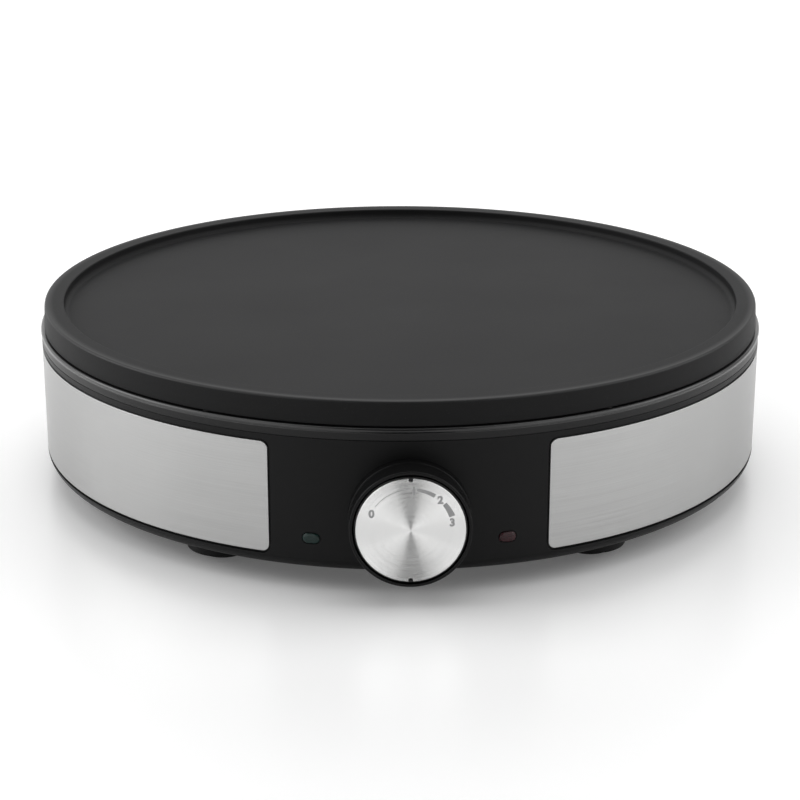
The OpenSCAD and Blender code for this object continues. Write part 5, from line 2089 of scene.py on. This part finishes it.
@dataclass
class BottomCover(SubAssembly):
    """Moulded cover with its vents, foot bosses and screw wells, and the rubber feet."""

    vent_count: int = 24
    vent_circle_r: float = 72.0
    vent_size: tuple[float, float] = (24.0, 3.0)
    foot_angle: float = 33.1
    foot_inset: float = 15.6
    foot_r: float = 10.0
    boss_r: float = 15.0
    recess: float = 1.2
    stem_r: float = 3.0
    barb_r: float = 3.7
    well_r: float = 3.3
    well_depth: float = 1.0
    post_r: float = 4.0
    post_h: float = 3.0
    block_screw_x: float = 12.0
    block_inset: float = 46.0
    edge: float = 0.3

    @property
    def radius(self) -> float:
        """Radius of the cover."""
        return high("bottom_cover").x

    @property
    def block_y(self) -> float:
        """Distance of the terminal block's middle behind the origin."""
        return LEVELS.body_r - self.block_inset

    def flat(self, angle: float, reach: float) -> Point2:
        """Flat place at an angle from the front."""
        return reach * math.sin(math.radians(angle)), -reach * math.cos(math.radians(angle))

    def foot_frames(self) -> dict[str, Matrix]:
        """Frame of each foot.

        Returns:
            A frame for each foot.
        """
        reach = self.radius - self.foot_inset
        angles = {
            "front_left_foot": -self.foot_angle, "front_right_foot": self.foot_angle,
            "rear_left_foot": 180 + self.foot_angle, "rear_right_foot": 180 - self.foot_angle,
        }
        return {name: from_front(angle, reach) for name, angle in angles.items()}

    def features(self) -> list[Feature]:
        """Everything in the cover's underside.

        Returns:
            The features.
        """
        boss_h = LEVELS.floor_z - low("bottom_cover").z
        through = -LEVELS.cover_t
        drop = round_edge(self.edge, hole=True)
        made = [
            Feature(
                Pad(*self.flat(360 / self.vent_count * i, self.vent_circle_r), *self.vent_size,
                    self.vent_size[1] / 2 - 0.01, turn=360 / self.vent_count * i + 90, corner_steps=5),
                [*drop, (0, through)], through=True)
            for i in range(self.vent_count)
        ]
        for place in self.foot_frames().values():
            x, y, _ = place.to_translation() / MM
            stem = Feature(
                Round(x, y, self.stem_r + LEVELS.seat_gap, 32),
                [(0, 0), (0, through - boss_h + self.recess)], through=True)
            recess = Feature(
                Round(x, y, self.foot_r + LEVELS.seat_gap, 64), [*drop, (0, -self.recess)], [stem])
            rise = arc(0.2, 0.2, 0.2, 0.2, 270, 180, 4)
            crown = arc(-0.6, boss_h - 0.6, 0.6, 0.6, 0, 90, 4)
            made.append(Feature(Round(x, y, self.boss_r, 72), [*rise, *crown], [recess]))
        for side in (-1, 1):
            spot = Round(side * self.block_screw_x, self.block_y, LEVELS.screw_hole_r, 24)
            made.append(Feature(spot, [(0, 0), (0, through)], through=True))
        return made

    def build(self) -> None:
        """Makes the cover and the four feet."""
        slab = Slab(lambda x, y, rise: Vector((x, y, LEVELS.floor_z - rise)))
        rim = [*round_edge(self.edge), (0, -LEVELS.cover_t + 0.2), (-0.2, -LEVELS.cover_t)]
        sheet = slab.sheet(Round(0, 0, self.radius, ROUND_SIDES), rim, self.features())
        sheet = self.carved(sheet, self.wells())
        bore, top = LEVELS.screw_hole_r, LEVELS.cover_top + self.post_h
        post = self.hollow([
            (bore, LEVELS.cover_top - 0.4, 0), (self.post_r, LEVELS.cover_top - 0.4, 0),
            (self.post_r, top, 0.3), (bore, top, 0.2)], 40, 3)
        frames = [at(side * self.block_screw_x, self.block_y) for side in (-1, 1)]
        mesh = self.joined(sheet, self.placed(post, frames))
        self.piece("bottom_cover", mesh, Slot.BLACK)
        for name, place in self.foot_frames().items():
            foot = self.foot()
            foot.transform(place)
            self.piece(name, foot, Slot.RUBBER)

    def wells(self) -> Mesh:
        """Cutters for the screw wells; two of them run into the rear bosses.

        Returns:
            The cutters.
        """
        face, wide = LEVELS.floor_z, self.well_r + self.edge
        seat, bore = face + self.well_depth, LEVELS.screw_hole_r
        well = self.turned([
            (0, 1), (wide, 1), (wide, face - 0.01), (self.well_r, face + self.edge), (self.well_r, seat),
            (bore, seat), (bore, LEVELS.cover_top + 1), (0, LEVELS.cover_top + 1),
        ], 40, close=False)
        return self.placed(well, around(LEVELS.post_angles, LEVELS.post_circle_r))

    def foot(self) -> Mesh:
        """Rubber foot with two grooves in its sole and a barbed stem.

        Returns:
            The mesh.
        """
        shoulder = low("bottom_cover").z + self.recess
        barb = LEVELS.cover_top + LEVELS.seat_gap
        tip = high("front_left_foot").z
        grooves = [
            corner for r in (3.6, 6.4)
            for corner in ((r, 0, 0.1), (r + 0.2, 0.5, 0.1), (r + 0.9, 0.5, 0.1), (r + 1.1, 0, 0.1))
        ]
        return self.solid([
            (0, 0, 0), *grooves, (self.foot_r, 0, 1.0), (self.foot_r, shoulder, 0.3),
            (self.stem_r, shoulder, 0.2),
            (self.stem_r, barb, 0.1), (self.barb_r, barb, 0.2), (self.stem_r - 0.6, tip, 0.4), (0, tip, 0),
        ], 72, 4)


@dataclass
class HeatingElement(SubAssembly):
    """Tubular element in two loops joined by a hairpin."""

    outer_r: float = 112.0
    inner_r: float = 64.0
    tube_r: float = 3.5
    outer_start: float = -72.0
    outer_end: float = 252.0
    inner_end: float = 236.0
    bend_r: float = 9.0
    collar_l: float = 3.0
    collar_proud: float = 0.15

    @property
    def centre_z(self) -> float:
        """Height of the tube's middle, under its collars."""
        return high("heating_element").z - self.tube_r - self.collar_proud

    def leg(self, r: float, angle: float) -> list[Vector]:
        """Path of a leg from its foot up to the loop.

        Args:
            r: Radius.
            angle: Angle from the front, in degrees.

        Returns:
            Points of the leg.
        """
        turn = Matrix.Rotation(math.radians(angle), 3, "Z")
        foot = low("heating_element").z - self.centre_z
        bend = arc(0, -self.bend_r, self.bend_r, self.bend_r, 0, 90, 12)
        local = [(self.bend_r, foot), *bend]
        base = Vector((r, 0, self.centre_z))
        return [turn @ (base + Vector((0, x, z))) for x, z in local]

    def loop(self, r: float, start: float, end: float, centre: float = 0.0) -> list[Vector]:
        """Path along a loop, in steps of about two degrees.

        Args:
            r: Radius of the arc.
            start: Angle at its start, in degrees.
            end: Angle at its end, in degrees.
            centre: Middle of the arc.

        Returns:
            Points of the outline.
        """
        steps = max(int(abs(end - start) / 2), 2)
        middle = Matrix.Rotation(math.radians(self.outer_start), 3, "Z") @ Vector((centre, 0, 0))
        spin = self.outer_start if centre else 0.0
        return [
            middle + Vector((x, y, self.centre_z))
            for x, y in arc(0, 0, r, r, start + spin, end + spin, steps)
        ]

    def build(self) -> None:
        """Makes the tube with its two collars."""
        half = (self.outer_r - self.inner_r) / 2
        path = [
            *self.leg(self.outer_r, self.outer_end),
            *self.loop(self.outer_r, self.outer_end, self.outer_start)[1:],
            *self.loop(half, 360, 180, self.inner_r + half)[1:],
            *self.loop(self.inner_r, self.outer_start, self.inner_end)[1:],
            *list(reversed(self.leg(self.inner_r, self.inner_end)))[1:],
        ]
        tube = self.tube(path, self.tube_r, 28)
        size, length = self.tube_r + self.collar_proud, self.collar_l / 2
        collar = self.solid([
            (0, -length, 0), (size, -length, 0.3), (size, length, 0.3), (0, length, 0)
        ], 32, 3)
        frames = [
            from_front(a) @ at(r, 0, self.centre_z) @ Matrix.Rotation(math.radians(90), 4, "X")
            for r, a in ((self.outer_r, self.outer_end), (self.inner_r, self.inner_end))
        ]
        mesh = self.joined(tube, self.placed(collar, frames))
        self.piece("heating_element", mesh, Slot.SHEATH)


@dataclass
class PanAndShield(SubAssembly):
    """Reflector pan and heat shield, pressed from thin sheet and riveted together."""

    sheet_t: float = 0.8
    floor_r: float = 127.5
    slope_w: float = 6.0
    rim_r: float = 141.0
    shield_r: float = 118.0
    rivet_r: float = 1.6
    rivet_head_r: float = 3.2
    rivet_head_h: float = 1.0
    rivet_circle_r: float = 88.0
    rivet_angles: tuple[float, ...] = (50, 160, -75, -160)
    leg_hole_r: float = 5.5
    flat_r: float = 60.0
    cut_reach: float = 3.0
    tail_inset: float = 2.5
    tail_y: float = -30.0
    tail_hole_r: float = 3.0
    shield_hole_r: float = 6.0
    shield_hole_shift: tuple[float, float] = (-2.0, -6.0)

    def leg_places(self) -> list[Matrix]:
        """Frames over the element's legs.

        Returns:
            Their places.
        """
        element = HeatingElement()
        return [
            from_front(a) @ at(r, element.bend_r)
            for r, a in ((element.outer_r, element.outer_end), (element.inner_r, element.inner_end))
        ]

    def holes(self, spots: Sequence[tuple[float, Sequence[Matrix]]], level: float) -> Mesh:
        """Cutters for round holes, as radii and the frames that they are cut in.

        Args:
            spots: Middles of the holes.
            level: Height of the sheet.

        Returns:
            The cutters.
        """
        parts = []
        for radius, frames in spots:
            pin = self.pin(radius, level - self.cut_reach, level + self.cut_reach, 40)
            parts.append(self.placed(pin, frames))
        return self.joined(*parts)

    def rivet_frames(self) -> list[Matrix]:
        """Frames of the rivets."""
        return around(self.rivet_angles, self.rivet_circle_r)

    def build(self) -> None:
        """Makes the pan, the shield and the rivets."""
        bottom = low("reflector_pan").z
        t, top = self.sheet_t, LEVELS.flange_top
        knee = self.floor_r + self.slope_w
        pan = self.solid([
            (0, bottom, 0), (self.flat_r, bottom, 0), (self.floor_r, bottom, 2.4), (knee, top, 1.0),
            (self.rim_r, top, 0.3), (self.rim_r, top + t, 0.3), (knee - t, top + t, 1.8),
            (self.floor_r - t, bottom + t, 1.6), (self.flat_r, bottom + t, 0), (0, bottom + t, 0),
        ], ROUND_SIDES // 2, 6)
        slip_rivet, slip_screw = self.rivet_r + LEVELS.slip, LEVELS.screw_hole_r
        tail_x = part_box("capillary_sensor")[1].x / MM - self.tail_inset
        floor_cut = self.holes([
            (slip_rivet, self.rivet_frames()), (self.leg_hole_r, self.leg_places()),
            (self.tail_hole_r, [at(tail_x, self.tail_y)]),
        ], bottom)
        rim_cut = self.holes(
            [(slip_screw, around(LEVELS.pan_screw_angles, LEVELS.pan_screw_r))], top)
        carved = self.carved(self.carved(pan, floor_cut), rim_cut)
        self.piece("reflector_pan", carved, Slot.ALUMINISED)
        self.build_shield(tail_x)
        self.build_rivets()

    def build_shield(self, tail_x: float) -> None:
        """Makes the heat shield.

        Args:
            tail_x: Place of the capillary's tail.
        """
        level = high("heat_shield").z
        disc = self.solid([
            (0, level - self.sheet_t, 0), (self.shield_r, level - self.sheet_t, 0.2),
            (self.shield_r, level, 0.2), (0, level, 0),
        ], ROUND_SIDES // 2, 3)
        earth = low("earth_screw") + Vector((1, 1, 0)) * Screws().head_r
        shift_x, shift_y = self.shield_hole_shift
        cut = self.holes([
            (self.rivet_r + LEVELS.slip, self.rivet_frames()), (self.leg_hole_r, self.leg_places()),
            (self.shield_hole_r, [at(tail_x + shift_x, self.tail_y + shift_y)]),
            (LEVELS.screw_hole_r, [at(earth.x, earth.y)]),
        ], level)
        sheet = self.carved(disc, cut)
        self.piece("heat_shield", sheet, Slot.ALUMINISED)

    def build_rivets(self) -> None:
        """Makes the rivets with their domed heads."""
        under, over = low("shield_rivets").z, high("shield_rivets").z
        shield_z, pan_top = under + self.rivet_head_h, over - self.rivet_head_h
        rivet = self.solid([
            (0, under, 0), (self.rivet_head_r, under, 0.8), (self.rivet_head_r, shield_z, 0.1),
            (self.rivet_r, shield_z, 0), (self.rivet_r, pan_top, 0), (self.rivet_head_r, pan_top, 0.1),
            (self.rivet_head_r, over, 0.8), (0, over, 0),
        ], 40, 5)
        rivets = self.placed(rivet, self.rivet_frames())
        self.piece("shield_rivets", rivets, Slot.PLATED)


@dataclass
class Screws(SubAssembly):
    """Cross-head screws of every group."""

    head_r: float = 3.0
    head_h: float = 1.8
    cross_w: float = 0.75
    cross_l: float = 3.3
    cross_depth: float = 1.1
    cross_over: float = 0.5
    cross_top: float = 1.05
    cross_bottom: float = 0.55
    pitch: float = 1.0
    thread_depth: float = 0.35
    thread_from: float = 0.6
    thread_end: float = 2.0
    point_l: float = 1.4
    point_r: float = 0.25
    ring_screw_l: float = 12.0
    pan_screw_l: float = 6.0
    cover_screw_l: float = 10.0
    earth_screw_l: float = 4.0

    def screw(self, length: float) -> Mesh:
        """One screw: domed head with a tapered cross, threaded shank with a point.

        Args:
            length: Length under the head.

        Returns:
            The mesh.
        """
        r, root = LEVELS.screw_r, LEVELS.screw_r - self.thread_depth
        thread: list[Corner] = []
        z = -self.thread_from
        while z > -length + self.thread_end:
            thread += [(root, z, 0), (r, z - 0.45 * self.pitch, 0), (root, z - 0.9 * self.pitch, 0)]
            z -= self.pitch
        blank = self.solid([
            (0, self.head_h, 0), (1.4, self.head_h, 1.2), (self.head_r, 0.75, 0.7), (self.head_r, 0, 0.15),
            (r, 0, 0), (r, -0.4, 0), *thread, (root, -length + self.point_l, 0), (self.point_r, -length, 0.1),
            (0, -length, 0),
        ], 36, 4)
        for place in around((0, 90)):
            bm = bmesh.new()
            bmesh.ops.create_cube(bm, size=1.0)
            for vert in bm.verts:
                upper = vert.co.z > 0
                arm = self.cross_l / 2 * (self.cross_top if upper else self.cross_bottom)
                level = self.head_h + (self.cross_over if upper else -self.cross_depth)
                side = math.copysign(self.cross_w / 2, vert.co.y)
                vert.co = Vector((math.copysign(arm, vert.co.x), side, level)) * MM
            blank = self.carved(blank, moved(bmesh_to_mesh(bm), place))
        return blank

    def build(self) -> None:
        """Makes each group of screws."""
        flip = Matrix.Rotation(math.pi, 4, "X")
        posts = LEVELS.post_angles
        pan_top = LEVELS.flange_top + PanAndShield().sheet_t
        cover = BottomCover()
        knob = Knob()
        bracket = -high("thermostat_screws").y + self.head_h
        case_screw_l = -low("thermostat_screws").y - bracket
        out = knob.frame @ Matrix.Translation((0, 0, bracket * MM)) @ flip
        earth = (low("earth_screw") + high("earth_screw")) / 2
        earth.z = low("earth_screw").z + self.head_h
        groups: dict[str, tuple[float, list[Matrix]]] = {
            "ring_screws": (self.ring_screw_l, around(posts, LEVELS.post_circle_r, LEVELS.flange_top)),
            "pan_screws": (self.pan_screw_l, around(LEVELS.pan_screw_angles, LEVELS.pan_screw_r, pan_top)),
            "cover_screws": (self.cover_screw_l, [
                place @ flip
                for place in around(posts, LEVELS.post_circle_r, LEVELS.floor_z + cover.well_depth)]),
            "block_screws": (high("block_screws").z - LEVELS.floor_z, [
                at(side * cover.block_screw_x, cover.block_y, LEVELS.floor_z) @ flip for side in (-1, 1)]),
            "thermostat_screws": (case_screw_l, [out @ place for place in knob.screw_places]),
            "earth_screw": (self.earth_screw_l, [at(*earth) @ flip]),
        }
        for name, (length, frames) in groups.items():
            mesh = self.placed(self.screw(length), frames)
            self.piece(name, mesh, Slot.PLATED)


@dataclass
class CordGland(SubAssembly):
    """Rubber gland in the rear wall, with grooves that let it flex."""

    bore_r: float = 3.6
    flange_r: float = 8.6
    neck_r: float = 6.0
    tip_r: float = 5.2
    flange_t: float = 2.5
    ring_t: float = 2.0
    groove_count: int = 4
    groove_w: float = 1.2
    groove_depth: float = 0.7

    @property
    def z(self) -> float:
        """Height of the gland's axis."""
        return (low("cord_gland").z + high("cord_gland").z) / 2

    def build(self) -> None:
        """Makes the gland."""
        inner = low("cord_gland").y
        seat = inner + self.ring_t
        face, tip = LEVELS.body_r + LEVELS.seat_gap, high("cord_gland").y
        start = LEVELS.body_r + self.flange_t + 1
        sleeve: list[Corner] = [(self.neck_r, start, 0.6)]
        for k in range(self.groove_count):
            z = start + 1.4 + (tip - start - 2.4) * k / self.groove_count
            r = self.neck_r + (self.tip_r - self.neck_r) * (z - start) / (tip - start)
            sleeve += [
                (r, z, 0.2), (r - self.groove_depth, z + 0.2, 0.2),
                (r - self.groove_depth, z + self.groove_w, 0.2), (r, z + self.groove_w + 0.2, 0.2),
            ]
        gland = self.hollow([
            (self.bore_r, inner, 0.3), (self.flange_r, inner, 0.4), (self.flange_r, seat, 0.3),
            (self.neck_r, seat, 0), (self.neck_r, face, 0), (self.flange_r, face, 0.3),
            (self.flange_r, LEVELS.body_r + self.flange_t, 0.8), *sleeve,
            (self.tip_r, tip, 0.5), (self.bore_r, tip, 0.4),
        ], 72, 4)
        gland.transform(facing(180, self.z))
        self.piece("cord_gland", gland, Slot.RUBBER)


# ---- Surroundings ----


@dataclass(frozen=True)
class Softbox:
    """Rectangular lamp that faces the object, in metres and watts."""

    name: str
    place: tuple[float, float, float]
    size: tuple[float, float]
    power: float
    aim: tuple[float, float, float] = (0, 0, 0.04)

    def add(self) -> None:
        """Adds the lamp."""
        data = bpy.data.lights.new(self.name, "AREA")
        data.shape = "RECTANGLE"
        data.size, data.size_y = self.size
        data.energy = self.power
        lamp = bpy.data.objects.new(self.name, data)
        lamp.location = self.place
        lamp.rotation_euler = (Vector(self.aim) - Vector(self.place)).to_track_quat("-Z", "Y").to_euler()
        bpy.context.scene.collection.objects.link(lamp)


@dataclass
class Studio:
    """White floor with a painted glow, soft light from above and the camera."""

    eye: tuple[float, float, float] = (-0.0214, -0.9132, 0.3361)
    azimuth: float = -1.34
    pitch: float = 18.82
    lens: float = 94.7
    floor_size: float = 80.0
    # Painted floor glow: weak near the object, which paints the floor darker round it, rising with distance
    # to full white.
    near_painted_glow: float = 0.1
    mid_painted_glow: float = 0.3
    glow: Step = (220.0, 700.0)
    white: Step = (720.0, 1800.0)
    painted_glow_side_pull: float = 3.0
    floor_white: float = 0.94
    floor_rough: float = 0.3
    floor_shine: float = 0.9
    grain_size: float = 400.0
    fill: float = 0.4
    front_dim: float = 0.05
    strip_dim: float = 0.02
    strip_slope: float = 0.3
    front_lift: float = 0.9
    right_drop: float = 0.75
    strip_tilt: float = 0.33
    strip_edge: float = 0.03
    strip_front: Step = (0.1, -0.1)
    corner_width: Step = (0.3, 0.7)
    corner_front: Step = (0.1, -0.4)
    drop_width: Step = (0.2, 0.9)
    drop_front: Step = (-0.3, 0.1)
    fade_front: Step = (-0.98, -0.3)
    softboxes: tuple[Softbox, ...] = (
        Softbox("top softbox", (0, 0.3, 1.35), (1.6, 1.2), 9.5),
        Softbox("left softbox", (-1.2, 0.1, 0.7), (1.0, 0.8), 7.4),
        Softbox("right softbox", (1.2, 0.1, 0.7), (1.0, 0.8), 6.0),
    )

    def build(self) -> None:
        """Sets up everything that isn't part of the object."""
        self.add_camera()
        self.add_floor()
        for softbox in self.softboxes:
            softbox.add()
        self.add_surroundings()
        bpy.context.scene.view_settings.view_transform = "Standard"

    def add_camera(self) -> None:
        """Adds the camera."""
        data = bpy.data.cameras.new("camera")
        data.lens = self.lens
        camera = bpy.data.objects.new("camera", data)
        camera.location = self.eye
        camera.rotation_euler = (math.radians(90 - self.pitch), 0, math.radians(self.azimuth))
        bpy.context.scene.collection.objects.link(camera)
        bpy.context.scene.camera = camera

    def add_floor(self) -> None:
        """Adds a white floor that keeps the object's shadow and a faint reflection, with a painted glow."""
        bm = bmesh.new()
        bmesh.ops.create_grid(bm, x_segments=1, y_segments=1, size=self.floor_size / 2)
        mesh = bpy.data.meshes.new("floor")
        bm.to_mesh(mesh)
        bm.free()
        floor = bpy.data.objects.new("floor", mesh)
        bpy.context.scene.collection.objects.link(floor)
        r = Recipe("white floor")
        grain = r.noise(r.place(), self.grain_size, detail=2)
        shader = r.node("ShaderNodeBsdfPrincipled", inputs={
            "Base Color": r.blend(grain, (self.floor_white,) * 3, (self.floor_white + 0.01,) * 3),
            "Roughness": self.floor_rough,
            "Specular IOR Level": self.floor_shine,
        })
        x, y, _ = r.axes(r.place())
        # Painted glow for camera, gloss and glass rays: dim near the object, rising sooner to the sides, then
        # full white.
        away = (x * x * self.painted_glow_side_pull + y * y).math("SQRT")
        rise = away.step(*self.glow) * (self.mid_painted_glow - self.near_painted_glow)
        far = away.step(*self.white) * (1 - self.mid_painted_glow)
        strength = self.seen(r) * (rise + far + self.near_painted_glow)
        glow = r.node("ShaderNodeEmission", inputs={"Color": (1, 1, 1, 1), "Strength": strength})
        both = r.node("ShaderNodeAddShader", inputs={0: shader, 1: glow})
        r.node("ShaderNodeOutputMaterial", inputs={"Surface": both})
        mesh.materials.append(r.material)

    @staticmethod
    def seen(tree: NodeTree) -> Signal:
        """1 for rays that show a surface to the camera, straight or in gloss and glass, and 0 for light.

        Args:
            tree: Tree of the nodes.

        Returns:
            The signal.
        """
        rays = [tree.node("ShaderNodeLightPath", output=name)
                for name in ("Is Camera Ray", "Is Glossy Ray", "Is Transmission Ray")]
        return rays[0].math("MAXIMUM", rays[1]).math("MAXIMUM", rays[2])

    def add_surroundings(self) -> None:
        """Sets the world: white to the eye, softer as a light, with a dark strip in front for gloss."""
        world = bpy.data.worlds.new("surroundings")
        world.use_nodes = True
        world.node_tree.nodes.clear()
        bpy.context.scene.world = world
        tree = NodeTree(world.node_tree)
        direction = tree.node("ShaderNodeTexCoord", output="Generated")
        x, y, z = tree.axes(direction)
        aside = x.math("ABSOLUTE") / (z + self.strip_tilt)
        strip = aside.step(self.strip_slope + self.strip_edge, self.strip_slope - self.strip_edge)
        strip = strip * y.step(*self.strip_front)
        corners = x.math("ABSOLUTE").step(*self.corner_width) * y.step(*self.corner_front)
        open_side = 1 + corners * self.front_lift
        drop = x.step(*self.drop_width) * y.step(*self.drop_front) * self.right_drop
        gloss = (open_side - drop) * (1 - strip * (1 - self.strip_dim))
        light = (y.step(*self.fade_front) * (1 - self.front_dim) + self.front_dim) * self.fill
        seen = self.seen(tree)
        camera = tree.node("ShaderNodeLightPath", output="Is Camera Ray")
        strength = (seen * gloss + (1 - seen) * light).math("MAXIMUM", camera)
        back = tree.node("ShaderNodeBackground", inputs={"Color": (1, 1, 1, 1), "Strength": strength})
        tree.node("ShaderNodeOutputWorld", inputs={"Surface": back})


# ---- The whole object ----


def dress_packed_nodes() -> None:
    """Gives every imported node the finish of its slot."""
    subparts = {part["node"]: part["material_slot"] for part in frame["record"]["subparts"]}
    for name, node in frame["nodes"].items():
        for slot in node.material_slots:
            slot.material = finishes()[Slot(subparts[name])]
        log.info("%s: %s", name, subparts[name])


def main() -> None:
    """Builds the surroundings and then every sub-assembly."""
    logging.basicConfig(level=logging.INFO, format="%(message)s")
    Studio().build()
    dress_packed_nodes()
    assemblies = (
        BakingPlate(), BaseRing(), Housing(), TrimPanels(), Knob(), KnobBezel(), PilotLights(), BottomCover(),
        HeatingElement(), PanAndShield(), Screws(), CordGland(),
    )
    for assembly in assemblies:
        assembly.build()


if __name__ == "__main__":
    main()
